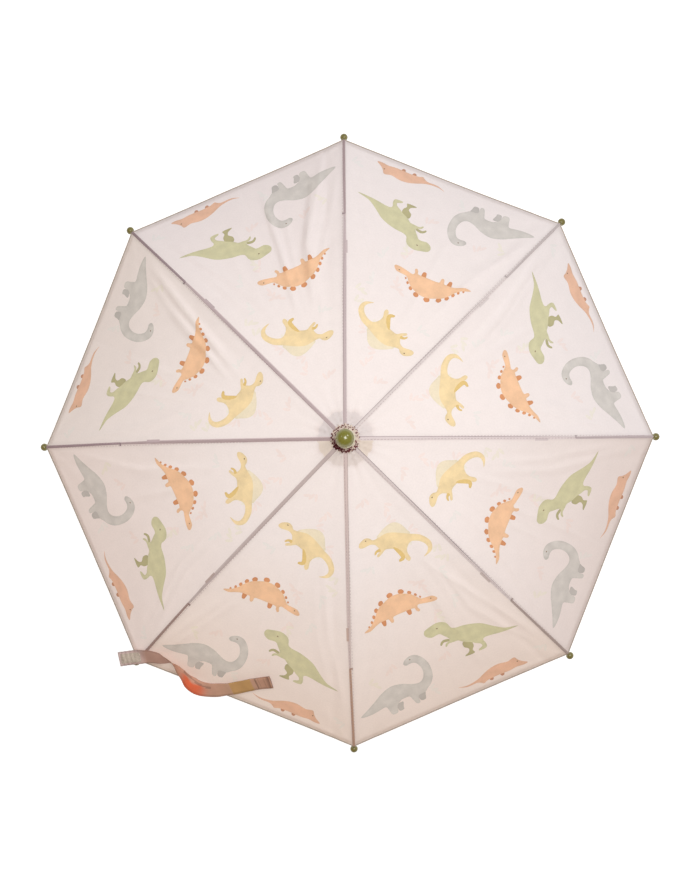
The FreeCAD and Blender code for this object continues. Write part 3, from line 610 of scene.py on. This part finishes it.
def inner_disc():
    """The reinforcing round under the crown shows through the cloth with a scalloped edge."""
    edge = []
    for i in range(41):
        bearing = HALF * (1 - i / 20)
        reach = 0.0288 + 0.0016 * abs(math.cos(bearing * 8)) + 0.001 * math.sin(i * 2.3)
        edge.append((reach * math.cos(bearing), reach * math.sin(bearing)))
    return edge + [(0, -0.02), (0, 0.02)]


def the_trim():
    """The seams, sewn patches, ties and hem: outlines, and what each of them is."""
    hem = [(HEM - 0.0013, -0.2), (HEM + 0.001, -0.2), (HEM + 0.001, 0.2), (HEM - 0.0013, 0.2)]
    shapes = [(inner_disc(), "disc"), (hem, "hem")]
    for side in (-1, 1):
        whole = [(along, -0.001, half + side * stray) for along, stray, _, half in SEAM]
        core = [(along, -0.001, half + side * stray) for along, stray, half, _ in SEAM]
        shapes.append((beside_rib(side, whole[:3]), "side"))
        shapes.append((beside_rib(side, core[:3]), "core"))
        shapes.append((beside_rib(side, whole[2:]), "outer"))
        tie = [(TIE - 0.001, -0.001, 0.0018), (TIE + 0.001, -0.001, 0.0018)]
        shapes.append((beside_rib(side, tie), "tie"))
    # A thin painted shadow line along the seam's raised edge.
    edge = [(along, half - stray - 0.0008, half - stray) for along, stray, _, half in SEAM[:3]]
    shapes.append((beside_rib(-1, edge), "edge"))
    shapes.append((beside_rib(1, [(0.206, 0.0014, 0.0042), (0.221, 0.0014, 0.0042)]), "patch"))
    return shapes


# Seam tones that carry painted shade by rib, and a painted shadow line at the seam's edge.
def trim_dye_and_painted_shade(kind, panel, rib):
    core, sides, edge, outer = SEAM_TONES[rib]
    tones = {
        "disc": DISC_TONES[panel],
        "hem": HEM_LINE_TONE,
        "side": sides,
        "core": core,
        "edge": edge,
        "outer": outer,
        "tie": [c * 0.93 for c in outer],
        "patch": [(a + b) / 2 for a, b in zip(outer, sides)],
    }
    return linear(*tones[kind])


def inside(shape, x, y):
    """Whether points lie inside a closed outline."""
    within = np.zeros(len(x), bool)
    for (ax, ay), (bx, by) in zip(shape, shape[1:] + shape[:1]):
        spans = (ay > y) != (by > y)
        if ay != by:
            within ^= spans & (x < (bx - ax) * (y - ay) / (by - ay) + ax)
    return within


def doubled_areas(corners):
    """Twice the signed areas of triangles in plan."""
    return np.cross(corners[:, 1] - corners[:, 0], corners[:, 2] - corners[:, 0])


class Panel:
    """One panel's net in plan, cut so that every printed edge and every cut line is an edge."""

    def __init__(self):
        printed, trim = the_print(), the_trim()
        self.points, self.edges = [], []
        border = self.draw_lines([shape for shape, *_ in printed + trim])
        self.scatter()
        middle = self.fill(border)
        # How far each triangle lies into the painted shade towards the hem.
        self.shaded = np.clip((middle[:, 0] - SHADE_FROM) / (HEM - SHADE_FROM), 0, 1)
        self.colour(middle, printed, trim)
        to_rib = middle[:, :1] * SIN - np.array([1, -1]) * middle[:, 1:] * COS
        self.region = np.where(
            middle[:, 1] > 0,
            np.where(to_rib[:, 0] < STRIP, 0, 1),
            np.where(to_rib[:, 1] < STRIP, 3, 2),
        )

    def chain(self, path, closed=False):
        """Adds a line that the net has to follow."""
        first = len(self.points)
        self.points.extend(path)
        last = len(self.points) - 1
        self.edges.extend((i, i + 1) for i in range(first, last))
        if closed:
            self.edges.append((last, first))

    def draw_lines(self, shapes):
        """Adds the border, the lines where the cloth is cut, and the shapes. Returns the border."""
        corners = [(INNER, -INNER * TAN), (HEM, -HEM * TAN), (HEM, HEM * TAN), (INNER, INNER * TAN)]
        border = self.divided(corners)
        self.chain(border, True)
        self.chain([(x, 0) for x in np.linspace(INNER, HEM, 93)])
        for side in (-1, 1):
            fork, end = np.array(((STRIP / SIN, 0), (HEM, side * (HEM * SIN - STRIP) / COS)))
            steps = np.linspace(0, 1, 80)[:, None]
            self.chain([tuple(p) for p in fork * (1 - steps) + end * steps])
        for shape in shapes:
            self.chain(self.kept(shape), True)
        return list(range(len(border)))

    def scatter(self):
        """Adds the net's own points, in rows that are a little uneven."""
        chance = random.Random(5)
        rows = int((HEM - INNER) / (PITCH * ROW)) + 1
        for row in range(1, rows):
            x = INNER + row * PITCH * ROW
            reach = x * TAN - NET_MARGIN
            for i in range(-int(reach / PITCH) - 1, int(reach / PITCH) + 2):
                y = (i + (row % 2) / 2) * PITCH
                if abs(y) < reach and x < HEM - NET_MARGIN:
                    shift = chance.uniform(-3e-4, 3e-4), chance.uniform(-3e-4, 3e-4)
                    self.points.append((x + shift[0], y + shift[1]))

    def fill(self, border):
        """Divides the panel into triangles that face up, and returns their middles."""
        scale = 1000
        points = [Vector(p) * scale for p in self.points]
        net = delaunay_2d_cdt(points, self.edges, [border], 1, 1e-3)
        self.plan = np.array([(p.x, p.y) for p in net[0]]) / scale
        triangles = np.array([f for f in net[2] if len(f) == 3])
        corners = self.plan[triangles]
        middle = corners.mean(axis=1)
        doubled = doubled_areas(corners)
        triangles = np.where((doubled > 0)[:, None], triangles, triangles[:, ::-1])
        sound = (np.abs(doubled) > 1e-10) & (np.abs(middle[:, 1]) < middle[:, 0] * TAN)
        self.triangles = triangles[sound]
        return middle[sound]

    def colour(self, middle, printed, trim):
        """Dyes the triangles, and finds the trim and the rims of the inked shapes."""
        self.dye = np.tile(np.array(CLOTH_DYE[:3] + (0.0,)), (len(self.triangles), 1))
        for shape, colour, ink in printed:
            self.dye[inside(shape, *middle.T)] = colour[:3] + (ink,)
        self.trim = {kind: np.zeros(len(middle), bool) for _, kind in trim}
        for shape, kind in trim:
            self.trim[kind] |= inside(shape, *middle.T)
        has_ink = self.dye[:, 3] > 0.5
        inked, bare = np.zeros((2, len(self.plan)), bool)
        inked[self.triangles[has_ink].ravel()] = True
        bare[self.triangles[~has_ink].ravel()] = True
        self.rim = (inked & bare).astype(float)

    @staticmethod
    def divided(shape):
        """A closed outline with no edge longer than the net's pitch."""
        finer = []
        for (ax, ay), (bx, by) in zip(shape, shape[1:] + shape[:1]):
            steps = max(1, math.ceil(math.hypot(bx - ax, by - ay) / PITCH))
            finer += [(ax + (bx - ax) * i / steps, ay + (by - ay) * i / steps) for i in range(steps)]
        return finer

    def kept(self, shape):
        """An outline held within the panel."""
        held = []
        for x, y in self.divided(shape):
            x = min(max(x, INNER), HEM)
            held.append((x, min(max(y, -x * TAN), x * TAN)))
        return held

    def part(self, panel, region):
        """A region of one panel as points, faces, flat places, colours of dye and painted shade, rims
        and normals.
        """
        chosen = self.region == region
        used, faces = np.unique(self.triangles[chosen], return_inverse=True)
        faces = faces.reshape(-1, 3)
        out, over = self.plan[used].T
        points, normals = on_cloth(panel, out, over)
        flat = np.column_stack((over, flat_out(out)))
        dyes_and_painted_shade = self.dye[chosen]
        # Painted shade towards the hem, half as strong on inked print.
        shaded = self.shaded[chosen] * (1 - 0.5 * dyes_and_painted_shade[:, 3])
        dyes_and_painted_shade[:, :3] *= 1 - shaded[:, None] * np.array(HEM_SHADE[panel])
        rib = panel if region < 2 else panel % 8 + 1
        for kind, where in self.trim.items():
            dyes_and_painted_shade[where[chosen]] = trim_dye_and_painted_shade(kind, panel, rib)[:3] + (0.1,)
        made = {
            "points": points.tolist(),
            "faces": faces.tolist(),
            "flat": flat.tolist(),
            "dyes_and_painted_shade": dyes_and_painted_shade.tolist(),
            "rim": self.rim[used].tolist(),
            "normals": normals.tolist(),
        }
        made["area"] = float(np.abs(doubled_areas(flat[faces])).sum() / 2)
        self.turn_under(made, panel, out, over)
        return made

    @staticmethod
    def turn_under(made, panel, out, over):
        """Folds the hem back under the panel."""
        edge = [i for i in range(len(out)) if out[i] > HEM - 1e-6]
        edge.sort(key=lambda i: over[i])
        if len(edge) < 2:
            return
        edge_over = over[edge]
        rows = [edge]
        for reach, drop in ((0.0003, 0.0003), (0.0, 0.0008), (-0.005, 0.0011)):
            where = np.full(len(edge), HEM + reach)
            squeezed = np.clip(edge_over, -(HEM + reach) * TAN, (HEM + reach) * TAN)
            points, normals = on_cloth(panel, where, squeezed, -drop)
            turned = normals if reach > 0 else -normals
            first = len(made["points"])
            made["points"] += points.tolist()
            made["normals"] += turned.tolist()
            made["flat"] += list(zip(squeezed, flat_out(where)))
            made["rim"] += [0.0] * len(edge)
            rows.append(list(range(first, first + len(edge))))
        for near, far in zip(rows, rows[1:]):
            for i in range(len(edge) - 1):
                made["faces"].append((near[i], far[i], far[i + 1], near[i + 1]))
                made["dyes_and_painted_shade"].append(HEM_FOLD_DYE[:3] + (0.0,))
        made["area"] += HEM_TURNED * float(edge_over[-1] - edge_over[0])


def new_mesh(name, points, faces, material):
    mesh = bpy.data.meshes.new(name)
    mesh.from_pydata(points, [], faces)
    mesh.materials.append(material)
    mesh.polygons.foreach_set("use_smooth", [True] * len(faces))
    return mesh


def build_mesh(name, parts, material):
    """One object from several parts, with their colours of dye and painted shade, flat places and
    normals.
    """
    points, faces, normals, dyes_and_painted_shade, flats, rims = [], [], [], [], [], []
    for part in parts:
        first = len(points)
        points += part["points"]
        normals += part.get("normals", [])
        flats += part["flat"]
        rims += part.get("rim", [0.0] * len(part["points"]))
        faces += [tuple(i + first for i in face) for face in part["faces"]]
        dyes_and_painted_shade += part["dyes_and_painted_shade"]
    mesh = new_mesh(name, points, faces, material)
    mesh.uv_layers.new(name="flat")
    colours = mesh.color_attributes.new("dye", "FLOAT_COLOR", "CORNER")
    corner = [v for face in faces for v in face]
    colours.data.foreach_set(
        "color", [c for face, dye in zip(faces, dyes_and_painted_shade) for _ in face for c in dye]
    )
    mesh.uv_layers["flat"].data.foreach_set("uv", [c for v in corner for c in flats[v]])
    rim = mesh.attributes.new("rim", "FLOAT", "POINT")
    rim.data.foreach_set("value", rims)
    if normals:
        mesh.normals_split_custom_set([normals[v] for v in corner])
    return shown(name, mesh)


def shown(name, data):
    """Puts a mesh, light or camera into the scene."""
    made = bpy.data.objects.new(name, data)
    bpy.context.scene.collection.objects.link(made)
    return made


# ---- how the pieces ride on the ribs ----


def rib_direction(rib):
    return Vector(frame_of(rib - 0.5)[0])


def rib_side(rib):
    """Level across a rib, towards the rib before it."""
    return Vector(frame_of(rib - 0.5)[1])


def follow(piece, rib, side):
    """Rides on the rib, with a mesh of its own. The middle piece is side 0."""
    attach(piece, f"rib_arm_{rib}")
    anchor = Vector((0, 0, CROWN))
    if side:
        rest = STRIP * (STRIP_KEEP - SIDE_KEEP) / (1 - SIDE_KEEP)
        anchor += rib_side(rib) * side * rest
    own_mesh(piece)


def capsule(points, faces, middle, along, up, length, radius):
    """Adds a short stitch of thread."""
    side = np.cross(up, along)
    first = len(points)
    for reach, wide in ((-0.5, 0.0), (-0.36, 1.0), (0.36, 1.0), (0.5, 0.0)):
        centre = middle + along * length * reach - up * (0.6 * radius if wide == 0 else 0)
        count = 5 if wide else 1
        for i in range(count):
            angle = 2 * math.pi * i / 5
            spoke = (side * math.cos(angle) + up * math.sin(angle)) * radius * wide
            points.append(tuple(centre + spoke))
    for i in range(5):
        j = (i + 1) % 5
        faces.append((first, first + 1 + j, first + 1 + i))
        faces.append((first + 1 + i, first + 1 + j, first + 6 + j, first + 6 + i))
        faces.append((first + 6 + i, first + 6 + j, first + 11))


def stitches(panel, stations, above, length, radius):
    """Stitches along plan stations (out, over), each turned to the next one."""
    points, faces = [], []
    out, over = np.array(stations).T
    places, ups = on_cloth(panel, out, over, above)
    for i in range(len(stations) - 1):
        along = places[i + 1] - places[i]
        along /= np.linalg.norm(along)
        capsule(points, faces, places[i], along, ups[i], length, radius)
    return points, faces


def add_stitches(name, rows, rib, side, material):
    points, faces = [], []
    for more, links in rows:
        first = len(points)
        points += more
        faces += [tuple(i + first for i in face) for face in links]
    made = shown(name, new_mesh(name, points, faces, material))
    follow(made, rib, side)
    return made


HEM_PITCH, SEAM_PITCH = 0.0034, 0.0036
HEM_INSET, SEAM_INSET = 0.0012, 0.0014  # of the stitches from the hem's edge and from the rib


def hem_row(panel, low, high):
    """Slanted hem stitches between two places along the hem."""
    count = int((high - low) / HEM_PITCH)
    row = HEM - HEM_INSET
    stations = [(row, low + (i + 0.5) * (high - low) / count) for i in range(count + 1)]
    stations[-1] = (row, min(stations[-1][1], high + 0.001))
    return stitches(panel, stations, 0.00015, 0.0027, 0.00032)


def seam_row(panel, side):
    """Stitches along one side of a rib's seam."""
    stations = []
    for along in np.arange(0.017, TIP_END - 0.006, SEAM_PITCH):
        out = along * COS + SEAM_INSET * SIN
        stations.append((out, side * (along * SIN - SEAM_INSET * COS)))
    return stitches(panel, stations, 0.0001, 0.0026, 0.00022)


net = Panel()
cut_over = (HEM * SIN - STRIP) / COS
panel_long = float(flat_out(np.array(HEM)))
strip_long = panel_long / COS + HEM_TURNED
side_long = panel_long - float(flat_out(np.array(STRIP / SIN))) + HEM_TURNED
for rib in RIBS:
    before = (rib - 2) % 8 + 1
    cuts = [
        (0, "middle", [net.part(rib, 0), net.part(before, 3)], (2 * STRIP, strip_long)),
        (-1, "after", [net.part(rib, 1)], (cut_over, side_long)),
        (1, "before", [net.part(before, 2)], (cut_over, side_long)),
    ]
    for side, label, parts, flat in cuts:
        name = f"canopy_{rib}_{label}"
        cloth = build_mesh(name, parts, CLOTH)
        follow(cloth, rib, side)
        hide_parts(f"canopy_section_{rib}")
    corner = HEM * TAN - 0.003
    hem_middle = [hem_row(rib, cut_over, corner), hem_row(before, -corner, -cut_over)]
    hem_after, hem_before = [hem_row(rib, 0, cut_over)], [hem_row(before, -cut_over, 0)]
    add_stitches(f"hem_stitches_{rib}_middle", hem_middle, rib, 0, THREAD.material)
    add_stitches(f"hem_stitches_{rib}_after", hem_after, rib, -1, THREAD.material)
    add_stitches(f"hem_stitches_{rib}_before", hem_before, rib, 1, THREAD.material)
    seam = [seam_row(rib, 1), seam_row(before, -1)]
    add_stitches(f"seam_stitches_{rib}", seam, rib, 0, SEAM_THREAD.material)

# ---- the lining under the crown ----


def under_canopy(rib, along, aside, below):
    """A point under the cloth, from its distances along a rib and out to the rib's own side."""
    place = rib_direction(rib) * along + rib_side(rib) * aside
    azimuth = math.atan2(place.x, place.y) % (2 * math.pi)
    panel = int(azimuth / (2 * HALF)) % 8 + 1
    outward, across = frame_of(panel)
    points, _ = on_cloth(panel, place @ Vector(outward), place @ Vector(across), -below)
    return tuple(points)


LINING_FROM, LINING_LONG = 0.0135, 0.0175  # along the rib
LINING_UNDER, LINING_LAP = 0.0013, 0.0006  # below the cloth, and how much its sides stray from that


def lining_half(along):
    """Half the width of the lining's patch on one rib, which laps a little over the next."""
    return 0.0076 + 0.285 * along


def build_lining(rib):
    """One rib's part of the reinforcing round that shows through the cloth at the crown."""
    rows, columns = 12, 14
    points, flats = [], []
    for row in range(rows + 1):
        along = LINING_FROM + LINING_LONG * row / rows
        half = lining_half(along)
        for column in range(columns + 1):
            share = 2 * column / columns - 1
            below = LINING_UNDER + LINING_LAP * share
            points.append(under_canopy(rib, along, share * half, below))
            flats.append((share * half, along))
    faces = []
    for row in range(rows):
        for column in range(columns):
            a = row * (columns + 1) + column
            b = a + columns + 1
            faces.append((a, b, b + 1, a + 1))
    part = {
        "points": points,
        "faces": faces,
        "flat": flats,
        "dyes_and_painted_shade": [CLOTH_DYE[:3] + (0.0,)] * len(faces),
    }
    made = build_mesh(f"crown_lining_{rib}", [part], CLOTH)
    follow(made, rib, 0)


for rib in RIBS:
    build_lining(rib)

# ---- the rosette ----

# The deep maroon tones paint the finial ball's shadow on the rosette's cloth and stitches, at the
# bearing and spread below.
ROSETTE_PALE, ROSETTE_SHADED = linear(236, 221, 208), linear(118, 62, 66)
MAROON, MAROON_SHADED = linear(126, 74, 78), linear(84, 34, 42)
SHADED_BEARING, SHADED_SPREAD = 222, 52  # degrees clockwise from rib 1


def blend(first, second, share):
    """A colour between two others."""
    return Vector(first[:3]).lerp(Vector(second[:3]), share)


def rosette_dye_and_painted_shadow(share, angle, chance):
    """Pale cloth with scattered maroon stitches, and a painted shadow of the finial ball in deep maroon
    on the lower-left side, where the stitches are denser.
    """
    away = (math.degrees(angle) - SHADED_BEARING + 180) % 360 - 180
    shade = math.exp(-((away / SHADED_SPREAD) ** 2))
    tone = blend(ROSETTE_PALE, ROSETTE_SHADED, 0.85 * shade * (share < 0.85))
    if chance < 0.34 + 0.4 * shade and share > 0.5:
        tone = blend(MAROON, MAROON_SHADED, shade)
    return tuple(tone) + (0.3,)


def build_rosette():
    """A small gathered round of the same cloth, under the ferrule."""
    low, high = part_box("rosette")
    rings, turns = 14, 192
    rim, bore = 0.0155, 0.0042
    chance = random.Random(3)
    points, normals, flats, faces, dyes_and_painted_shade = [], [], [], [], []
    for ring in range(rings + 1):
        share = ring / rings
        for i in range(turns):
            angle = 2 * math.pi * i / turns
            pleat = math.cos(angle * 26 + 0.8 * math.sin(angle * 3)) + 0.4 * math.sin(angle * 11 + 1)
            radius = bore + (rim - bore) * share + 0.0007 * pleat * share**3
            drop = 0.0016 * max(share - 0.72, 0) / 0.28
            up = high[2] + 0.0008 * pleat * share**1.5 - drop
            points.append((radius * math.sin(angle), radius * math.cos(angle), up))
            flats.append((radius * math.sin(angle), radius * math.cos(angle)))
    patch_wide = 4
    for ring in range(rings):
        draws = [chance.random() for _ in range(turns // patch_wide)]
        for i in range(turns):
            j = (i + 1) % turns
            a, b = ring * turns, (ring + 1) * turns
            faces.append((a + i, b + i, b + j, a + j)[::-1])
            angle = 2 * math.pi * (i + 0.5) / turns
            dyes_and_painted_shade.append(rosette_dye_and_painted_shadow((ring + 0.5) / rings, angle, draws[i // patch_wide]))
    grid = np.array(points).reshape(rings + 1, turns, 3)
    around = np.roll(grid, -1, axis=1) - np.roll(grid, 1, axis=1)
    outward = np.gradient(grid, axis=0)
    across = np.cross(around, outward).reshape(-1, 3)
    across /= np.linalg.norm(across, axis=1, keepdims=True)
    across *= np.sign(across[:, 2:])
    part = {
        "points": points,
        "faces": faces,
        "normals": across.tolist(),
        "flat": flats,
        "dyes_and_painted_shade": dyes_and_painted_shade,
    }
    made = build_mesh("gathered_rosette", [part], CLOTH)
    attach(made, "shaft")
    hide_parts("rosette")


build_rosette()

# ---- the tie strap ----

# Its middle line over panel 5, as out and over in plan, how high it stands above the cloth, and how
# far it has turned about that line.
STRAP_LINE = [
    (0.3262, -0.1521, 0.0078, -30),
    (0.3170, -0.1359, 0.0088, -28),
    (0.3104, -0.1221, 0.0082, -16),
    (0.3075, -0.1084, 0.0082, 8),
    (0.3071, -0.0950, 0.0094, 42),
    (0.3140, -0.0812, 0.0098, 78),
    (0.3206, -0.0688, 0.0090, 112),
    (0.3234, -0.0555, 0.0074, 140),
    (0.3192, -0.0386, 0.0060, 165),
    (0.3099, -0.0213, 0.0050, 176),
    (0.2981, -0.0039, 0.0044, 180),
    (0.2886, 0.0108, 0.0038, 180),
    (0.2841, 0.0190, 0.0036, 180),
]
STRAP_WIDE, STRAP_THICK = 0.0165, 0.0010


def strap_path(steps):
    """Evenly spaced points along the strap, with its across and upward directions."""
    keys = []
    for out, over, above, turn in STRAP_LINE:
        point, normal = on_cloth(5, min(out, HEM), over)
        point = point + frame_of(5)[0] * max(out - HEM, 0) + np.array((0, 0, above))
        keys.append((Vector(point), Vector(normal), math.radians(turn)))
    dense = []
    for i in range(len(keys) - 1):
        before, after = keys[max(i - 1, 0)], keys[min(i + 2, len(keys) - 1)]
        a, b = keys[i], keys[i + 1]
        for j, point in enumerate(arch(before[0], a[0], b[0], after[0], 16)):
            share = j / 16
            dense.append((point, a[1].lerp(b[1], share), a[2] + (b[2] - a[2]) * share))
    dense.append(keys[-1])
    lengths = [0.0]
    for a, b in zip(dense, dense[1:]):
        lengths.append(lengths[-1] + (b[0] - a[0]).length)
    path = []
    for i in range(steps + 1):
        target = lengths[-1] * i / steps
        end = next((k for k, s in enumerate(lengths) if s >= target), len(dense) - 1)
        start = max(end - 1, 0)
        gap = lengths[start + 1] - lengths[start]
        share = (target - lengths[start]) / gap if gap else 0
        a, b = dense[start], dense[start + 1]
        path.append((a[0].lerp(b[0], share), a[1].lerp(b[1], share), a[2] + (b[2] - a[2]) * share))
    frames = []
    for i, (point, up, turn) in enumerate(path):
        ahead, back = path[min(i + 1, steps)][0], path[max(i - 1, 0)][0]
        along = (ahead - back).normalized()
        across = up.cross(along).normalized()
        lift = along.cross(across).normalized()
        twist = Matrix.Rotation(turn, 3, along)
        frames.append((point, twist @ across, twist @ lift))
    return frames, lengths[-1]


STRAP_STEPS = 150
strap_frames, strap_length = strap_path(STRAP_STEPS)


def strap_height(share, side):
    """The strap's own waves, deepest where it is bunched at the rib."""
    waves = 0.0004 * math.sin(share * 34 + side * 2.2) + 0.0003 * math.sin(share * 57 - side)
    bunched = max(0.0, 1 - share / 0.17)
    waves += 0.0011 * bunched * math.sin(share * 250 + side * 0.8)
    return waves * (1 if share < 0.9 else 0.4)


def ribbon(name, low, high, wide, thick, lift, dye_and_painted_shade_of, material):
    """A closed band that follows the strap between two shares of its length."""
    columns = 12
    rows = range(round(low * STRAP_STEPS), round(high * STRAP_STEPS) + 1)
    ring = 2 * (columns + 1)
    points, flats, faces, dyes_and_painted_shade = [], [], [], []
    for row in rows:
        point, across, up = strap_frames[row]
        share = row / STRAP_STEPS
        for layer in (1, -1):
            order = range(columns + 1) if layer > 0 else range(columns, -1, -1)
            for column in order:
                side = 2 * column / columns - 1
                soft = thick / 2 * (1 - 0.55 * abs(side) ** 6)
                level = lift + strap_height(share, side) + layer * soft
                place = point + across * (side * wide / 2) + up * level
                points.append(tuple(place))
                flats.append((side * wide / 2 + layer, share * strap_length))
    for r in range(len(rows) - 1):
        share = (rows[r] + 0.5) / STRAP_STEPS
        near, far = r * ring, (r + 1) * ring
        for c in range(ring):
            d = (c + 1) % ring
            faces.append((near + c, far + c, far + d, near + d))
            column = c if c <= columns else ring - 1 - c
            side = (2 * column + 1) / columns - 1
            dyes_and_painted_shade.append(dye_and_painted_shade_of(share, side, 1 if c < columns else -1))
    for start, flip in ((0, False), ((len(rows) - 1) * ring, True)):
        for c in range(columns):
            quad = (start + c, start + c + 1, start + ring - 2 - c, start + ring - 1 - c)
            faces.append(quad[::-1] if flip else quad)
            dyes_and_painted_shade.append(dyes_and_painted_shade[0] if start == 0 else dyes_and_painted_shade[-1])
    part = {"points": points, "faces": faces, "flat": flats, "dyes_and_painted_shade": dyes_and_painted_shade}
    return build_mesh(name, [part], material)


def between(stops, share):
    """A colour read from stops of share and colour."""
    for (low, first), (high, second) in zip(stops, stops[1:]):
        if share <= high:
            mix = max(0, (share - low) / (high - low))
            return tuple(a + (b - a) * mix for a, b in zip(linear(*first), linear(*second)))
    return linear(*stops[-1][1])


# The strap's tones along its length, darker than the canopy's cloth partly from its layers and partly
# as painted shade.
STRAP_BACK = [
    (0, (203, 182, 178)),
    (0.13, (200, 174, 168)),
    (0.17, (184, 148, 134)),
    (0.3, (196, 156, 142)),
    (1, (198, 164, 146)),
]
STRAP_FRONT = [
    (0, (196, 150, 126)),
    (0.6, (196, 152, 132)),
    (0.745, (202, 162, 138)),
    (0.75, (200, 158, 108)),
    (0.88, (198, 156, 104)),
    (0.885, (200, 158, 136)),
    (1, (190, 146, 124)),
]
STRAP_PRINT = linear(222, 96, 54)
END_HEM = 0.915  # where the strap's stitched end begins, as a share of its length
STITCH_ROWS = 0.91, 0.985


def strap_dye_and_painted_shade(share, side, face):
    """Mauve-brown on the back, and on the front an orange print along the twist's outer edge, both
    darker than the canopy's cloth partly from the strap's layers and partly as painted shade.
    On each face one edge carries a painted shadow line and the other edge is a little darker, a darker
    band crosses the front at the twist, the end's tucks carry painted fold shadows, and its two rows of
    stitches are darker."""
    tone = Vector(between(STRAP_BACK if face > 0 else STRAP_FRONT, share)[:3])
    if face < 0:
        along = 0.85 * math.exp(-(((share - 0.5) / 0.085) ** 4))
        across = min(max((side + 0.25 + 0.15 * math.sin(share * 60)) * 3, 0), 1)
        tone = tone.lerp(Vector(STRAP_PRINT[:3]), along * across)
        if abs(side + 0.5 - 2 * (share - 0.45)) < 0.14 and 0.42 < share < 0.62:
            tone = tone * 0.7
    # A painted shadow line along one edge, and the other edge a little darker.
    if side * (1 if face > 0 else -1) > 0.8:
        tone = tone * (0.6 if share > 0.3 else 0.8)
    elif abs(side) > 0.86:
        tone = tone * 0.84
    # Painted fold shadows over the tucks of the stitched end.
    if share > END_HEM and abs(side) < 0.85 and math.sin(share * 420) > 0.5:
        tone = tone * 0.86
    if any(abs(share - row) < 0.006 for row in STITCH_ROWS):
        tone = tone * 0.66
    return tuple(tone) + (0.8,)


def tape_dye(share, side, face):
    """The fastener tapes have a finish of their own, which ignores the dye."""
    return (0.5, 0.45, 0.4, 0)


TAPE_WIDE, TAPE_THICK, TAPE_LIFT = 0.011, 0.0006, 0.0009
hem_wide, hem_thick = STRAP_WIDE * 0.99, STRAP_THICK * 2.2
tape = (TAPE_WIDE, TAPE_THICK, TAPE_LIFT, tape_dye, LOOPS.material)
strap = ribbon("twisted_strap", 0, 1, STRAP_WIDE, STRAP_THICK, 0.0, strap_dye_and_painted_shade, STRAP_CLOTH)
hem_block = ribbon("strap_end_hem", END_HEM, 1, hem_wide, hem_thick, 0.0, strap_dye_and_painted_shade, STRAP_CLOTH)
loop_patch = ribbon("strap_loop_tape", 0.01, 0.13, *tape)
hook_patch = ribbon("strap_hook_tape", 0.8, 0.91, *tape)

# The strap and its tapes ride on rib 6, in place of the model's own strap pieces, which are hidden.
for piece, node, slot in (
    (strap, "tie_strap", "strap_fabric"),
    (hem_block, None, "strap_fabric"),
    (loop_patch, "strap_loop_patch", "fastener_tape"),
    (hook_patch, "strap_hook_patch", "fastener_tape"),
):
    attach(piece, "rib_arm_6")
    if node:
        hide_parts(node)
    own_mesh(piece)

# ---- the ground, the light and the camera ----

CENTRE = Vector((0, 0, TIPS_UP))  # of the ring of tips
DISTANCE = 2.2
SENSOR, LENS = 36, 77.36696  # millimetres
GROUND_REACH = 60.0
scene = bpy.context.scene

ground_finish = Finish("white_ground", (0.35, 0.35, 0.35, 1), 0.9, Specular_IOR_Level=0.0)
ground_finish.set("Emission Color", (1, 1, 1, 1))
ground_finish.set("Emission Strength", 0.9)
foot = cad_low[2] - 0.0005
square = [(-1, -1), (1, -1), (1, 1), (-1, 1)]
corners = [(x * GROUND_REACH, y * GROUND_REACH, foot) for x, y in square]
ground = new_mesh("ground", corners, [(0, 1, 2, 3)], ground_finish.material)
shown("ground", ground)

world = bpy.data.worlds.new("soft_room")
scene.world = world
world.use_nodes = True
nodes, links = world.node_tree.nodes, world.node_tree.links
direction = add_node(world.node_tree, "ShaderNodeTexCoord")
bright_side = {1: (0.45, 0.75, 0.3)}
turned = add_node(world.node_tree, "ShaderNodeVectorMath", bright_side, operation="DOT_PRODUCT")
ramp = add_node(world.node_tree, "ShaderNodeValToRGB")
ramp.color_ramp.elements[0].color = (0.86, 0.50, 0.16, 1)
ramp.color_ramp.elements[1].color = (1.0, 0.985, 0.98, 1)
half_up = add_node(world.node_tree, "ShaderNodeMapRange", {"From Min": -1})
links.new(direction.outputs["Generated"], turned.inputs[0])
links.new(turned.outputs["Value"], half_up.inputs["Value"])
links.new(half_up.outputs["Result"], ramp.inputs["Fac"])
links.new(ramp.outputs["Color"], nodes["Background"].inputs["Color"])
nodes["Background"].inputs["Strength"].default_value = 0.26


def area_light(name, place, power, size, colour):
    light = bpy.data.lights.new(name, "AREA")
    light.energy = power
    light.size = size
    light.color = colour
    made = shown(name, light)
    made.location = place
    made.rotation_mode = "QUATERNION"
    made.rotation_quaternion = (Vector(place) - CENTRE).to_track_quat("Z", "Y")


area_light("key_light", (0.3, 0.17, 3.0), 46, 1.2, (1, 0.999, 1.0))
area_light("side_light", (1.7, 1.35, 2.55), 8, 0.36, (1, 0.985, 0.97))
area_light("left_light", (-1.6, 0.8, 2.4), 2.5, 0.3, (1, 0.98, 0.97))

eye = CENTRE + Vector((0.054, -0.054, DISTANCE))
lean = math.radians(0.95)
aim = CENTRE + Vector((0.0011, -0.0063, 0))
camera_data = bpy.data.cameras.new("camera")
camera_data.sensor_width = SENSOR
camera_data.lens = LENS
camera_data.clip_start = 0.05
camera_data.clip_end = 200
camera = shown("camera", camera_data)
back = (eye - aim).normalized()
up = Vector((math.sin(lean), math.cos(lean), 0))
right = up.cross(back).normalized()
up = back.cross(right)
camera.matrix_world = Matrix.Translation(eye) @ Matrix((right, up, back)).transposed().to_4x4()
scene.camera = camera
scene.view_settings.view_transform = "Standard"
